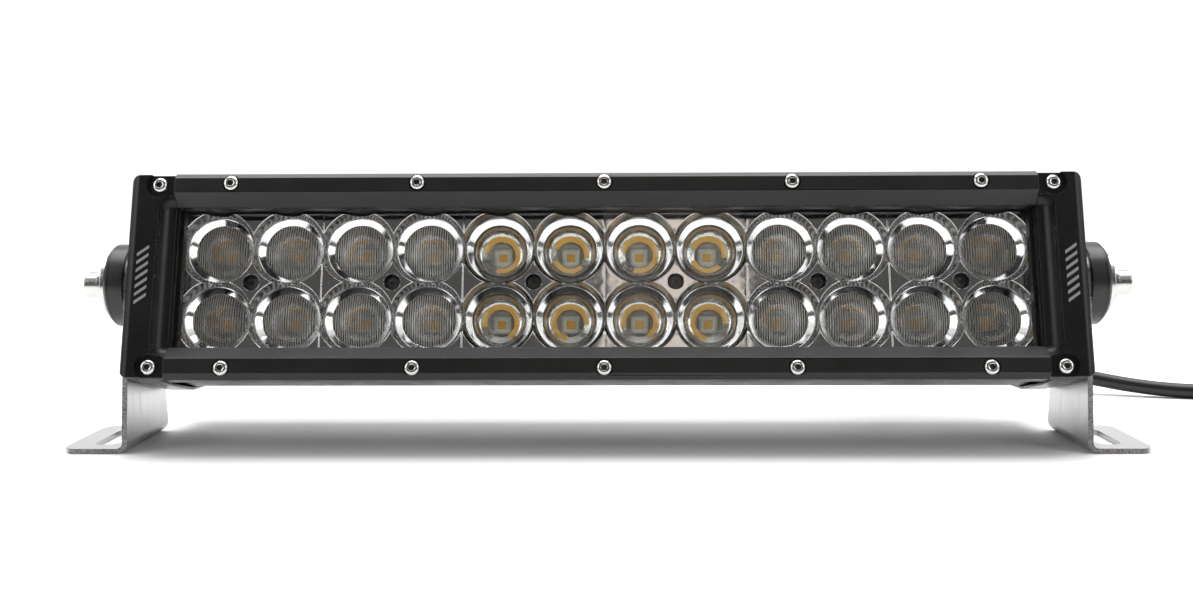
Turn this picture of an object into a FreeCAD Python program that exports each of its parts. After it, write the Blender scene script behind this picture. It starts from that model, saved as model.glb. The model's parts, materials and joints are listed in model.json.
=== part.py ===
import FreeCAD, Part
import math
import os
from types import SimpleNamespace

import Sketcher
from FreeCAD import Placement, Rotation, Vector

# A double-row LED light bar on two slotted brackets. +X runs along the bar to its right-hand end,
# +Y points away from the light's face, +Z up, and the feet stand on Z = 0 with the origin in the
# middle of the footprint. The lamp pieces are drawn in the lamp's own frame: the tilt axis is its
# X axis, Y is the depth behind that axis and Z the height above it. Their Placement tilts them back.

DRIVING_SIZES = [
    # alias, value in mm or degrees, what it is
    ("cap_outer", 171.5, "bar centre to the outside of an end cap"),
    ("cap_flange", 155.5, "bar centre to the inner edge of a cap's front flange"),
    ("cap_skirt", 160.0, "bar centre to the inner edge of a cap's skirt"),
    ("cap_plate", 6.0, "thickness of a cap's end plate"),
    ("cap_wall", 1.2, "thickness of a cap's skirt"),
    ("cap_half_height", 36.9, "half height of an end cap"),
    ("cap_break_depth", 6.0, "depth where the cap's outline begins to fall"),
    ("cap_knee_depth", 28.0, "depth of the knee in the cap's outline"),
    ("cap_knee_half", 36.0, "half height at the knee"),
    ("cap_rear_depth", 58.0, "depth of the cap's rear face"),
    ("cap_rear_half", 29.0, "half height at the rear face before rounding"),
    ("cap_rear_round", 9.0, "rounding of a cap's rear corners"),
    ("cap_knee_round", 30.0, "rounding of the knee in a cap's outline"),
    ("cap_edge_round", 3.6, "rounding round a cap's outer face"),
    ("cap_recess_depth", 1.5, "depth of the recesses for a cap's front screws"),
    ("cap_recess_radius", 4.6, "radius of those recesses"),
    ("cap_sill_thick", 1.2, "thickness of a cap's sill under the lens"),
    ("boss_height", 5.0, "height of the boss for the pivot screw inside a cap"),
    ("boss_wall", 4.0, "wall of that boss"),
    ("face_depth", -19.6, "depth of the front face"),
    ("cove_radius", 5.0, "radius of the cove beside the window"),
    ("cove_half", 24.5, "half length of the cove between its round ends"),
    ("strip_half_height", 37.6, "bar axis to the outside of a lens strip"),
    ("strip_thickness", 9.0, "front to back size of a lens strip"),
    ("strip_flat", 30.2, "bar axis to the start of the strip's bevel"),
    ("window_half", 25.65, "half height of the visible window"),
    ("strip_nose", 0.9, "thickness of the strip's edge over the lens"),
    ("lens_recess", 5.6, "face to lens"),
    ("lens_thick", 3.0, "lens thickness"),
    ("lens_half_length", 157.4, "half length of the lens"),
    ("lens_half_height", 30.6, "half height of the lens"),
    ("gasket_thick", 1.5, "lens gasket thickness"),
    ("seat_half", 31.0, "half height of the lens seat"),
    ("channel_half", 26.6, "half height of the light chamber"),
    ("rail_half", 35.6, "bar axis to the outside of a front rail"),
    ("rail_end_depth", 2.4, "depth where the front rail ends"),
    ("housing_half_length", 164.5, "half length of the extrusion"),
    ("wall_half", 29.6, "bar axis to the outside of the chamber wall"),
    ("skin_inner", 32.4, "bar axis to the inside of the outer skin"),
    ("skin_outer", 34.6, "bar axis to the outside of the outer skin"),
    ("skin_end_depth", 26.0, "depth where the outer skin ends"),
    ("floor_depth", 13.4, "depth of the chamber floor"),
    ("base_thick", 4.0, "thickness of the base between chamber and driver tunnel"),
    ("tunnel_depth", 11.0, "front to back size of the driver tunnel"),
    ("tunnel_half", 20.0, "half height of the driver tunnel"),
    ("tunnel_wall", 2.5, "wall of the driver tunnel"),
    ("fin_pitch", 7.4, "spacing of the cooling fins"),
    ("fin_thick", 2.0, "thickness of a cooling fin"),
    ("fin_end_depth", 54.5, "depth of the fin tips"),
    ("short_fin_end", 44.0, "depth of the outermost fins' tips"),
    ("port_depth", 44.0, "depth of the side screws"),
    ("port_height", 18.5, "height of the side screws"),
    ("cell", 26.0, "spacing of the LEDs along and across"),
    ("reflector_depth", -5.1, "depth of the reflectors' front"),
    ("reflector_height", 16.4, "front to back size of a reflector"),
    ("reflector_gap", 0.1, "gap between neighbouring reflectors"),
    ("cup_mouth", 13.9, "radius of a cup at its mouth"),
    ("cup_seat", 9.9, "radius of a cup at the optic's seat"),
    ("cup_depth", 7.2, "depth of a cup from mouth to optic"),
    ("optic_flange", 1.5, "thickness of an optic's flange"),
    ("optic_radius", 9.8, "radius of an optic's flange"),
    ("optic_throat", 8.4, "radius of the reflector's throat behind the optic"),
    ("optic_clearance", 1.1, "board to the back of an optic"),
    ("spot_dome", 2.6, "height of a spot optic's dome"),
    ("flood_dome", 1.6, "height of a flood optic's dome"),
    ("board_thick", 1.6, "LED board thickness"),
    ("board_half_height", 26.2, "half height of the LED board"),
    ("emitter_size", 5.0, "side of an LED package"),
    ("emitter_height", 0.8, "height of an LED package"),
    ("strip_screw_pitch", 67.4, "spacing of the strip screws"),
    ("strip_screw_height", 33.6, "height of the strip screws"),
    ("cap_screw_place", 160.75, "bar centre to a cap's front screws"),
    ("cap_screw_height", 33.15, "height of a cap's front screws"),
    ("thread_radius", 1.45, "radius of the M3 threads"),
    ("tapped_radius", 1.5, "radius of the M3 tapped holes"),
    ("head_radius", 2.75, "radius of the M3 heads"),
    ("head_height", 1.65, "height of the M3 heads"),
    ("face_screw_length", 16.0, "length of the M3 screws in the face"),
    ("strip_recess_depth", 0.8, "depth of the recesses for the strip screws"),
    ("reflector_recess_depth", 4.0, "depth of a reflector screw's head below the reflector's front"),
    ("socket_across", 2.0, "size of the M3 hexagon sockets"),
    ("socket_depth", 1.1, "depth of the M3 hexagon sockets"),
    ("axis_height", 59.2, "height of the tilt axis above the mounting surface"),
    ("axis_place", -16.0, "Y of the tilt axis"),
    ("tilt", 16.5, "tilt of the face above level, degrees"),
    ("bracket_inner", 171.8, "bar centre to the inside of a bracket"),
    ("bracket_thick", 2.0, "bracket sheet thickness"),
    ("foot_end", 196.0, "bar centre to the end of a foot"),
    ("foot_half_width", 20.7, "half width of a foot"),
    ("ear_half_width", 13.8, "half width of a bracket at its ear"),
    ("slot_place", 183.05, "bar centre to the middle of a foot's slot"),
    ("slot_radius", 4.45, "radius of a slot's ends"),
    ("slot_half_travel", 9.55, "half the distance between a slot's end centres"),
    ("bend_inside", 2.2, "inside radius of a bracket's bend"),
    ("bend_outside", 4.2, "outside radius of a bracket's bend"),
    ("foot_corner", 5.0, "corner radius of a foot"),
    ("foot_taper_start", 7.0, "height where a bracket begins to taper"),
    ("isolator_radius", 15.25, "radius of an isolator"),
    ("isolator_thick", 7.3, "thickness of an isolator"),
    ("isolator_edge", 1.3, "chamfer round an isolator's outer end"),
    ("pivot_radius", 2.95, "radius of the M6 pivot screws' thread"),
    ("pivot_tapped", 3.0, "radius of the tapped hole in a cap"),
    ("pivot_clear", 3.3, "radius of the clearance holes on the tilt axis"),
    ("washer_place", 181.4, "bar centre to the inside of a flat washer"),
    ("flat_washer_radius", 11.5, "radius of a flat washer"),
    ("flat_washer_thick", 2.2, "thickness of a flat washer"),
    ("spring_washer_radius", 5.7, "radius of a spring washer"),
    ("spring_washer_thick", 1.7, "thickness of a spring washer"),
    ("pivot_length", 25.0, "length of a pivot screw's thread"),
    ("pivot_flange_radius", 6.2, "radius of a pivot screw's flange"),
    ("pivot_flange_thick", 1.6, "thickness of a pivot screw's flange"),
    ("pivot_head_radius", 5.0, "radius of a pivot screw's head"),
    ("pivot_head_height", 6.9, "height of a pivot screw's head with its flange"),
    ("pivot_socket_across", 5.0, "size of a pivot screw's socket"),
    ("pivot_socket_depth", 3.2, "depth of a pivot screw's socket"),
    ("gland_place", 110.0, "bar centre to the cable gland"),
    ("gland_height", 11.0, "height of the cable gland"),
    ("gland_pocket", 13.0, "radius of the pocket milled in the fins for the gland"),
    ("gland_thread", 6.0, "radius of the gland's thread"),
    ("gland_thread_length", 6.0, "how far the gland's thread reaches in"),
    ("gland_flange", 10.0, "radius of the gland's flange"),
    ("gland_flange_thick", 5.0, "thickness of the gland's flange"),
    ("gland_collar", 7.2, "radius of the gland's collar, under the nut"),
    ("gland_length", 14.0, "how far the gland stands out of the tunnel"),
    ("gland_seal_thick", 1.3, "thickness of the seal between cable and gland"),
    ("nut_radius", 9.6, "radius of the gland nut"),
    ("nut_shoulder", 17.0, "tunnel to where the nut's nose begins"),
    ("nut_nose_length", 9.5, "length of the nut's domed nose"),
    ("nut_nose", 4.4, "radius of the nut at its tip"),
    ("vent_thread", 3.0, "radius of the vent's thread"),
    ("vent_place", -110.0, "bar centre to the breather vent"),
    ("vent_pocket", 9.0, "radius of the pocket milled in the fins for the vent"),
    ("vent_thread_length", 4.0, "how far the vent's thread reaches in"),
    ("vent_radius", 6.5, "radius of the vent's cap"),
    ("vent_height", 4.2, "height of the vent's cap"),
    ("vent_edge", 1.0, "slope at the edge of the vent's cap"),
    ("lead_hole_place", 65.0, "bar centre to the internal leads' hole"),
    ("cable_radius", 3.25, "radius of the cable"),
    ("coil_mid_radius", 34.0, "radius of the coil at the middle of its turns"),
    ("tie_width", 8.0, "width of the strap round the coil"),
    ("tie_thick", 0.7, "thickness of the strap round the coil"),
    ("plug_half_wide", 8.0, "half width of the connector"),
    ("plug_length", 20.0, "length of the connector's block"),
    ("plug_nose", 12.0, "length of the connector's nose"),
    ("plug_nose_step", 1.5, "how much smaller the nose is than the block"),
    ("plug_collar_length", 10.0, "length of the connector's collar"),
    ("plug_collar", 6.4, "radius of the connector's collar"),
    ("terminal_radius", 1.2, "radius of a connector terminal"),
    ("terminal_apart", 3.0, "connector middle to each terminal"),
]
MODULES = 6
MODULE_SPOTS = (3, 4)
FIN_COUNT = 7
STRIP_SCREWS = 5
GAP = 0.1
CORNER_CUT = 6.0
SIDES = {"left": -1, "right": 1}
LEVELS = {"bottom": -1, "top": 1}

doc = FreeCAD.newDocument("LedLightBar")
sheet = doc.addObject("Spreadsheet::Sheet", "Sizes")
PARTS = []


class Size:
    """A number together with the sheet formula that gives it."""

    def __init__(self, value, formula):
        self.value = float(value)
        self.formula = formula

    def __add__(self, other):
        other = as_size(other)
        return Size(self.value + other.value, f"({self.formula} + {other.formula})")

    def __sub__(self, other):
        other = as_size(other)
        return Size(self.value - other.value, f"({self.formula} - {other.formula})")

    def __mul__(self, factor):
        factor = as_size(factor)
        return Size(self.value * factor.value, f"({self.formula} * {factor.formula})")

    def __neg__(self):
        return Size(-self.value, f"(-1 * {self.formula})")

    def __rsub__(self, other):
        return as_size(other) - self

    __radd__ = __add__
    __rmul__ = __mul__


def as_size(number):
    return number if isinstance(number, Size) else Size(number, f"({float(number):.6f})")


def fill_sheet():
    """Write the driving sizes into the sheet and give each one back under its alias."""
    sizes = SimpleNamespace()
    for row, (alias, value, meaning) in enumerate(DRIVING_SIZES, start=1):
        sheet.set(f"A{row}", meaning)
        sheet.set(f"B{row}", str(value))
        sheet.setAlias(f"B{row}", alias)
        setattr(sizes, alias, Size(value, f"Sizes.{alias}"))
    doc.recompute()
    return sizes


S = fill_sheet()


def bind(feature, name, size):
    """Give a feature's property a size, and tie it to the sheet."""
    size = as_size(size)
    if "." not in name:
        setattr(feature, name, size.value)
    feature.setExpression(name, size.formula)


# Sketches and the features made from them


def new_body(label):
    body = doc.addObject("PartDesign::Body", label)
    body.Label = label
    return body


def origin_feature(body, role):
    return next(item for item in body.Origin.OriginFeatures if item.Role == role)


def new_sketch(body, plane, x=0, y=0, offset=0):
    """A sketch on an origin plane; x and y move its own origin, offset moves it along the normal."""
    sketch = body.newObject("Sketcher::SketchObject", body.Label + "_sketch")
    sketch.AttachmentSupport = [(origin_feature(body, plane + "_Plane"), "")]
    sketch.MapMode = "FlatFace"
    for axis, size in (("x", x), ("y", y), ("z", offset)):
        sketch.setExpression(f"AttachmentOffset.Base.{axis}", as_size(size).formula)
    return sketch


def hold(sketch, constraint, name, size):
    """Add a dimension to a sketch and tie it to the sheet."""
    size = as_size(size)
    index = sketch.addConstraint(Sketcher.Constraint(*constraint, size.value))
    sketch.renameConstraint(index, name)
    sketch.setExpression("Constraints." + name, size.formula)


def hold_point(sketch, edge, end, x, y):
    """Hold one end or the centre of an edge at a place in its sketch."""
    hold(sketch, ("DistanceX", -1, 1, edge, end), f"x{edge}_{end}", x)
    hold(sketch, ("DistanceY", -1, 1, edge, end), f"y{edge}_{end}", y)


def draw_polygon(sketch, corners):
    corners = [(as_size(x), as_size(y)) for x, y in corners]
    points = [Vector(x.value, y.value, 0) for x, y in corners]
    first = sketch.GeometryCount
    following = points[1:] + points[:1]
    sketch.addGeometry([Part.LineSegment(a, b) for a, b in zip(points, following)], False)
    for index, (x, y) in enumerate(corners):
        edge = first + index
        after = first + (index + 1) % len(corners)
        sketch.addConstraint(Sketcher.Constraint("Coincident", edge, 2, after, 1))
        hold_point(sketch, edge, 1, x, y)


def draw_rectangle(sketch, x_from, x_to, y_from, y_to):
    draw_polygon(sketch, [(x_from, y_from), (x_to, y_from), (x_to, y_to), (x_from, y_to)])


def draw_circle(sketch, x, y, radius):
    x, y, radius = as_size(x), as_size(y), as_size(radius)
    edge = sketch.addGeometry(
        Part.Circle(Vector(x.value, y.value, 0), Vector(0, 0, 1), radius.value), False
    )
    hold_point(sketch, edge, 3, x, y)
    hold(sketch, ("Radius", edge), f"r{edge}", radius)


def pad(body, sketch, length, reverse=False):
    feature = body.newObject("PartDesign::Pad", body.Label + "_pad")
    feature.Profile = sketch
    feature.Reversed = reverse
    bind(feature, "Length", length)
    return feature


def pocket(body, sketch, length, reverse=False):
    feature = body.newObject("PartDesign::Pocket", body.Label + "_pocket")
    feature.Profile = sketch
    feature.Reversed = reverse
    bind(feature, "Length", length)
    return feature


def turn(body, kind, axis, base, profile):
    """Revolve a profile of (distance along the axis, radius) corners about an axis through base."""
    x, y, z = base
    if axis == "Y":
        sketch = new_sketch(body, "YZ", y, z, x)
    else:
        sketch = new_sketch(body, "XY", x, y, z)
    draw_polygon(sketch, profile)
    feature = body.newObject("PartDesign::" + kind, body.Label + "_turned")
    feature.Profile = sketch
    feature.ReferenceAxis = (sketch, ["H_Axis"])
    feature.Angle = 360
    doc.recompute()
    return feature


def drill(body, axis, x, y, z, radius, depth):
    """A round hole from (x, y, z), running along +Y or +X for its depth."""
    return turn(body, "Groove", axis, (x, y, z), [(0, 0), (depth, 0), (depth, radius), (0, radius)])


def row_of(body, features, length, count):
    pattern = body.newObject("PartDesign::LinearPattern", body.Label + "_row")
    pattern.Originals = features
    pattern.Direction = (origin_feature(body, "X_Axis"), [""])
    bind(pattern, "Length", length)
    pattern.Occurrences = count
    body.Tip = pattern
    return pattern


def round_edges(body, feature, radius, chosen):
    """Fillet the edges of a feature that a test picks by their middle point and box."""
    doc.recompute()
    names = [
        f"Edge{number}"
        for number, edge in enumerate(feature.Shape.Edges, start=1)
        if chosen(edge.CenterOfMass, edge.BoundBox)
    ]
    fillet = body.newObject("PartDesign::Fillet", body.Label + "_rounding")
    fillet.Base = (feature, names)
    bind(fillet, "Radius", radius)
    return fillet


def keep(item, place="lamp"):
    """Put a finished sub-part where it belongs and list it for export."""
    if place == "lamp":
        item.Placement = Placement(Vector(0, 0, 0), Rotation(Vector(1, 0, 0), -S.tilt.value))
        bind(item, "Placement.Rotation.Angle", -S.tilt)
    if place in ("lamp", "axis"):
        bind(item, "Placement.Base.y", S.axis_place)
        bind(item, "Placement.Base.z", S.axis_height)
    PARTS.append(item)
    return item


def keep_pair(name, item, place="lamp"):
    """Keep a right-hand piece and its left-hand twin."""
    item.Label = "right_" + name
    keep(item, place)
    twin = doc.addObject("Part::Mirroring", "left_" + name)
    twin.Label = "left_" + name
    twin.Source = item
    twin.Normal = Vector(1, 0, 0)
    PARTS.append(twin)


# Depths that several pieces share

LENS_FRONT = S.face_depth + S.lens_recess
LENS_BACK = LENS_FRONT + S.lens_thick
SEAT_DEPTH = LENS_BACK + S.gasket_thick
RAIL_DEPTH = S.face_depth + S.strip_thickness
BOARD_FRONT = S.reflector_depth + S.reflector_height
BOARD_BACK = BOARD_FRONT + S.board_thick
TUNNEL_FRONT = S.floor_depth + S.base_thick
TUNNEL_BACK = TUNNEL_FRONT + S.tunnel_depth
TUNNEL_OUTSIDE = TUNNEL_BACK + S.tunnel_wall
CAP_PLATE_INSIDE = S.cap_outer - S.cap_plate
SCREW_HEAD = [(0, 0), (0, S.head_radius * 0.86), (0.45, S.head_radius)]


def module_centres():
    """Bar positions of the six reflector modules, numbered from 1 at the left."""
    return [(number, S.cell * (2 * number - 7)) for number in range(1, MODULES + 1)]


def mirrored_outline(upper):
    """Close an outline whose upper half is given, by its mirror image below the axis."""
    return upper + [(depth, -as_size(height)) for depth, height in reversed(upper)]


# The extruded housing


def heatsink_housing():
    body = new_body("heatsink_housing")
    full_length = 2 * S.housing_half_length
    start = -S.housing_half_length

    channel = new_sketch(body, "YZ", offset=start)
    draw_polygon(channel, mirrored_outline([
        (S.floor_depth, S.channel_half),
        (SEAT_DEPTH, S.channel_half),
        (SEAT_DEPTH, S.seat_half),
        (RAIL_DEPTH, S.seat_half),
        (RAIL_DEPTH, S.rail_half),
        (S.rail_end_depth, S.rail_half),
        (S.rail_end_depth, S.skin_outer),
        (S.skin_end_depth, S.skin_outer),
        (S.skin_end_depth, S.skin_inner),
        (S.rail_end_depth, S.skin_inner),
        (S.rail_end_depth, S.wall_half),
        (TUNNEL_FRONT, S.wall_half),
    ][::-1]))
    pad(body, channel, full_length)

    tunnel_outer = S.tunnel_half + S.tunnel_wall
    tunnel = new_sketch(body, "YZ", offset=start)
    draw_polygon(tunnel, mirrored_outline([
        (TUNNEL_BACK, S.tunnel_half),
        (TUNNEL_FRONT, S.tunnel_half),
        (TUNNEL_FRONT, tunnel_outer),
        (TUNNEL_OUTSIDE, tunnel_outer),
    ]))
    pad(body, tunnel, full_length)

    fins = new_sketch(body, "YZ", offset=start)
    half = S.fin_thick * 0.5
    middle = (FIN_COUNT - 1) / 2
    for number in range(FIN_COUNT):
        height = S.fin_pitch * (number - middle)
        draw_rectangle(fins, TUNNEL_OUTSIDE, S.fin_end_depth, height - half, height + half)
    for height in (-S.fin_pitch * (middle + 1), S.fin_pitch * (middle + 1)):
        draw_rectangle(fins, TUNNEL_FRONT, S.short_fin_end, height - half, height + half)
    pad(body, fins, full_length)

    for height in (-S.port_height, S.port_height):
        port = new_sketch(body, "YZ", offset=start)
        draw_circle(port, S.port_depth, height, S.tapped_radius + 1.8)
        draw_circle(port, S.port_depth, height, S.tapped_radius)
        pad(body, port, full_length)

    rail_hole = S.rail_end_depth - RAIL_DEPTH - 1
    for level in LEVELS.values():
        height = level * S.strip_screw_height
        hole = drill(body, "Y", -2 * S.strip_screw_pitch, RAIL_DEPTH, height,
                     S.tapped_radius, rail_hole)
        row_of(body, [hole], 4 * S.strip_screw_pitch, STRIP_SCREWS)
        height = level * S.cap_screw_height
        hole = drill(body, "Y", -S.cap_screw_place, RAIL_DEPTH, height, S.tapped_radius, rail_hole)
        row_of(body, [hole], 2 * S.cap_screw_place, 2)
    hole = drill(body, "Y", -5 * S.cell, S.floor_depth, 0, S.tapped_radius, S.base_thick)
    row_of(body, [hole], 10 * S.cell, MODULES)
    drill(body, "Y", S.lead_hole_place, S.floor_depth, 0, S.tapped_radius * 2, S.base_thick)
    for place, height, radius, hole_radius in (
        (S.gland_place, S.gland_height, S.gland_pocket, S.gland_thread + GAP),
        (S.vent_place, 0, S.vent_pocket, S.vent_thread + GAP),
    ):
        drill(body, "Y", place, TUNNEL_OUTSIDE, height, radius, S.fin_end_depth - TUNNEL_OUTSIDE)
        drill(body, "Y", place, TUNNEL_BACK, height, hole_radius, S.tunnel_wall)
    keep(body)


# End caps and their gaskets


def cap_outline(inset):
    """Side outline of an end cap, moved in by a wall thickness behind the front flange."""
    slope = [
        (S.cap_break_depth, S.cap_half_height - inset),
        (S.cap_knee_depth, S.cap_knee_half - inset),
    ]
    if inset == 0:
        return slope + [(S.cap_rear_depth, S.cap_rear_half)]
    return slope + [
        (S.cap_rear_depth - inset - CORNER_CUT, S.cap_rear_half),
        (S.cap_rear_depth - inset, S.cap_rear_half - inset - CORNER_CUT),
    ]


def end_cap():
    body = new_body("right_end_cap")
    outline = new_sketch(body, "YZ", offset=S.cap_flange)
    draw_polygon(outline, mirrored_outline([(S.face_depth, S.cap_half_height)] + cap_outline(0)))
    block = pad(body, outline, S.cap_outer - S.cap_flange)
    block = round_edges(body, block, S.cap_rear_round,
                        lambda mid, box: box.XLength > 10 and mid.y > S.cap_rear_depth.value - 1)
    block = round_edges(body, block, S.cap_knee_round,
                        lambda mid, box: box.XLength > 10 and 20 < mid.y < 40)
    block = round_edges(body, block, S.cap_edge_round,
                        lambda mid, box: mid.x > S.cap_outer.value - 0.1 and box.XLength < 0.1)
    doc.recompute()

    behind = new_sketch(body, "YZ", offset=S.cap_flange)
    draw_rectangle(behind, RAIL_DEPTH, S.cap_rear_depth + 5, -45, 45)
    pocket(body, behind, S.cap_skirt - S.cap_flange, reverse=True)

    sill_depth = S.reflector_depth - 0.4
    sill_half = S.channel_half - 0.2
    inside = new_sketch(body, "YZ", offset=S.cap_flange)
    draw_polygon(inside, mirrored_outline([
        (sill_depth, sill_half),
        (RAIL_DEPTH, sill_half),
        (RAIL_DEPTH, S.cap_half_height - S.cap_wall),
    ] + cap_outline(S.cap_wall)))
    pocket(body, inside, CAP_PLATE_INSIDE - S.cap_flange, reverse=True)

    sill = new_sketch(body, "YZ", offset=CAP_PLATE_INSIDE)
    draw_rectangle(sill, SEAT_DEPTH, sill_depth, -sill_half, sill_half)
    pad(body, sill, CAP_PLATE_INSIDE - S.cap_flange + S.cap_sill_thick, reverse=True)

    lens_bed = new_sketch(body, "YZ", offset=S.cap_flange)
    draw_rectangle(lens_bed, LENS_FRONT - GAP, SEAT_DEPTH, -S.seat_half, S.seat_half)
    pocket(body, lens_bed, S.lens_half_length - S.cap_flange + 0.3, reverse=True)

    boss = new_sketch(body, "YZ", offset=CAP_PLATE_INSIDE)
    draw_circle(boss, 0, 0, S.pivot_tapped + S.boss_wall)
    pad(body, boss, S.boss_height, reverse=True)
    drill(body, "X", CAP_PLATE_INSIDE - S.boss_height, 0, 0, S.pivot_tapped, S.cap_plate + S.boss_height)

    cove(body)
    for level in LEVELS.values():
        height = level * S.cap_screw_height
        recess = new_sketch(body, "XZ", offset=-S.face_depth)
        draw_rectangle(recess, S.cap_flange, S.cap_screw_place, height - 4, height + 4)
        pocket(body, recess, S.cap_recess_depth)
        drill(body, "Y", S.cap_screw_place, S.face_depth, height, S.cap_recess_radius, S.cap_recess_depth)
        drill(body, "Y", S.cap_screw_place, S.face_depth, height, S.tapped_radius + 0.1,
              S.strip_thickness)
        side = level * S.port_height
        drill(body, "X", S.cap_outer - 2, S.port_depth, side, S.head_radius + 0.3, 2)
        drill(body, "X", CAP_PLATE_INSIDE, S.port_depth, side, S.tapped_radius + 0.1, S.cap_plate)
    doc.recompute()
    keep_pair("end_cap", body)


def cove(body):
    """The upright round-ended trough between a cap's face and the window."""
    centre = [S.cap_flange, S.face_depth]
    shaft = body.newObject("PartDesign::SubtractiveCylinder", body.Label + "_cove")
    bind(shaft, "Radius", S.cove_radius)
    bind(shaft, "Height", 2 * S.cove_half)
    pieces = [(shaft, -S.cove_half)]
    for end in (-S.cove_half, S.cove_half):
        ball = body.newObject("PartDesign::SubtractiveSphere", body.Label + "_cove_end")
        bind(ball, "Radius", S.cove_radius)
        pieces.append((ball, end))
    for piece, height in pieces:
        piece.AttachmentSupport = [(origin_feature(body, "XY_Plane"), "")]
        piece.MapMode = "FlatFace"
        for axis, size in zip("xyz", centre + [height]):
            piece.setExpression(f"AttachmentOffset.Base.{axis}", as_size(size).formula)
    doc.recompute()


def end_gasket():
    """Sheet between the end of the extrusion and the cap's plate, open over the chamber."""
    body = new_body("right_end_gasket")
    sheet_gap = CAP_PLATE_INSIDE - S.housing_half_length
    sketch = new_sketch(body, "YZ", offset=S.housing_half_length)
    draw_polygon(sketch, mirrored_outline([
        (S.floor_depth, S.channel_half),
        (S.rail_end_depth, S.channel_half),
        (S.rail_end_depth, S.skin_outer - 0.4),
        (S.skin_end_depth, S.skin_outer - 0.4),
        (TUNNEL_OUTSIDE, S.tunnel_half + S.tunnel_wall),
    ]))
    draw_rectangle(sketch, TUNNEL_FRONT, TUNNEL_BACK, -S.tunnel_half, S.tunnel_half)
    pad(body, sketch, sheet_gap)
    keep_pair("end_gasket", body)


# The window: lens, gasket and retaining strips


def lens_strip(name, level):
    body = new_body(name + "_lens_strip")
    sketch = new_sketch(body, "YZ", offset=-S.cap_flange + GAP)
    nose_depth = LENS_FRONT - GAP
    corners = [
        (S.face_depth, S.strip_flat),
        (S.face_depth, S.strip_half_height - 2),
        (S.face_depth + 2, S.strip_half_height),
        (RAIL_DEPTH, S.strip_half_height),
        (RAIL_DEPTH, S.seat_half),
        (nose_depth, S.seat_half),
        (nose_depth, S.window_half),
        (nose_depth - S.strip_nose, S.window_half),
    ]
    draw_polygon(sketch, [(depth, level * height) for depth, height in corners])
    pad(body, sketch, 2 * S.cap_flange - 2 * GAP)
    height = level * S.strip_screw_height
    sink = drill(body, "Y", -2 * S.strip_screw_pitch, S.face_depth, height, S.head_radius + 0.3,
                 S.strip_recess_depth)
    hole = drill(body, "Y", -2 * S.strip_screw_pitch, S.face_depth, height, S.tapped_radius + 0.1,
                 S.strip_thickness)
    row_of(body, [sink, hole], 4 * S.strip_screw_pitch, STRIP_SCREWS)
    keep(body)


def front_lens():
    body = new_body("front_lens")
    sketch = new_sketch(body, "YZ", offset=-S.lens_half_length)
    draw_rectangle(sketch, LENS_FRONT, LENS_BACK, -S.lens_half_height, S.lens_half_height)
    pad(body, sketch, 2 * S.lens_half_length)
    keep(body)


def lens_gasket():
    body = new_body("lens_gasket")
    sketch = new_sketch(body, "XZ", offset=-SEAT_DEPTH)
    outer = S.lens_half_length
    draw_rectangle(sketch, -outer, outer, -S.lens_half_height, S.lens_half_height)
    inner = S.cap_flange + 0.4
    draw_rectangle(sketch, -inner, inner, -S.channel_half, S.channel_half)
    pad(body, sketch, S.gasket_thick)
    keep(body)


# Optics and electronics


def reflector(number, centre):
    body = new_body(f"reflector_{number}")
    sketch = new_sketch(body, "XZ", offset=-BOARD_FRONT)
    half = S.cell - S.reflector_gap * 0.5
    draw_rectangle(sketch, centre - half, centre + half, -S.cell, S.cell)
    pad(body, sketch, S.reflector_height)
    seat = S.cup_depth + S.optic_flange
    for across in (-0.5, 0.5):
        for level in (-0.5, 0.5):
            turn(body, "Groove", "Y", (centre + S.cell * across, S.reflector_depth, S.cell * level), [
                (0, 0),
                (0, S.cup_mouth),
                (S.cup_depth, S.cup_seat),
                (seat, S.cup_seat),
                (seat, S.optic_throat),
                (S.reflector_height, S.optic_throat),
                (S.reflector_height, 0),
            ])
    drill(body, "Y", centre, S.reflector_depth, 0, S.head_radius + 0.25, S.reflector_recess_depth)
    drill(body, "Y", centre, S.reflector_depth, 0, S.tapped_radius + 0.1, S.reflector_height)
    keep(body)


def optics(number, centre):
    """Four lenses of one module: domed and clear over the spots, flatter over the floods."""
    spot = number in MODULE_SPOTS
    kind, dome = ("spot", S.spot_dome) if spot else ("flood", S.flood_dome)
    body = new_body(f"{kind}_optics_{number}")
    top = S.reflector_depth + S.cup_depth
    back = S.reflector_height - S.cup_depth - S.optic_clearance
    for across in (-0.5, 0.5):
        for level in (-0.5, 0.5):
            turn(body, "Revolution", "Y", (centre + S.cell * across, top, S.cell * level), [
                (dome * -1, 0),
                (dome * -0.8, S.optic_radius * 0.42),
                (dome * -0.3, S.optic_radius * 0.78),
                (0, S.optic_radius * 0.92),
                (0, S.optic_radius),
                (S.optic_flange, S.optic_radius),
                (S.optic_flange, S.optic_throat - 0.4),
                (back, S.optic_throat * 0.5),
                (back, 0),
            ])
    keep(body)


def plate_with_holes(name, front, thickness):
    """A flat sheet as long as the reflectors, with the reflector screws' and leads' holes."""
    body = new_body(name)
    sketch = new_sketch(body, "XZ", offset=-front - thickness)
    half = S.cell * MODULES
    draw_rectangle(sketch, -half, half, -S.board_half_height, S.board_half_height)
    for _, centre in module_centres():
        draw_circle(sketch, centre, 0, S.tapped_radius + 0.1)
    draw_circle(sketch, S.lead_hole_place, 0, S.tapped_radius * 1.6)
    pad(body, sketch, thickness)
    keep(body)


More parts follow.
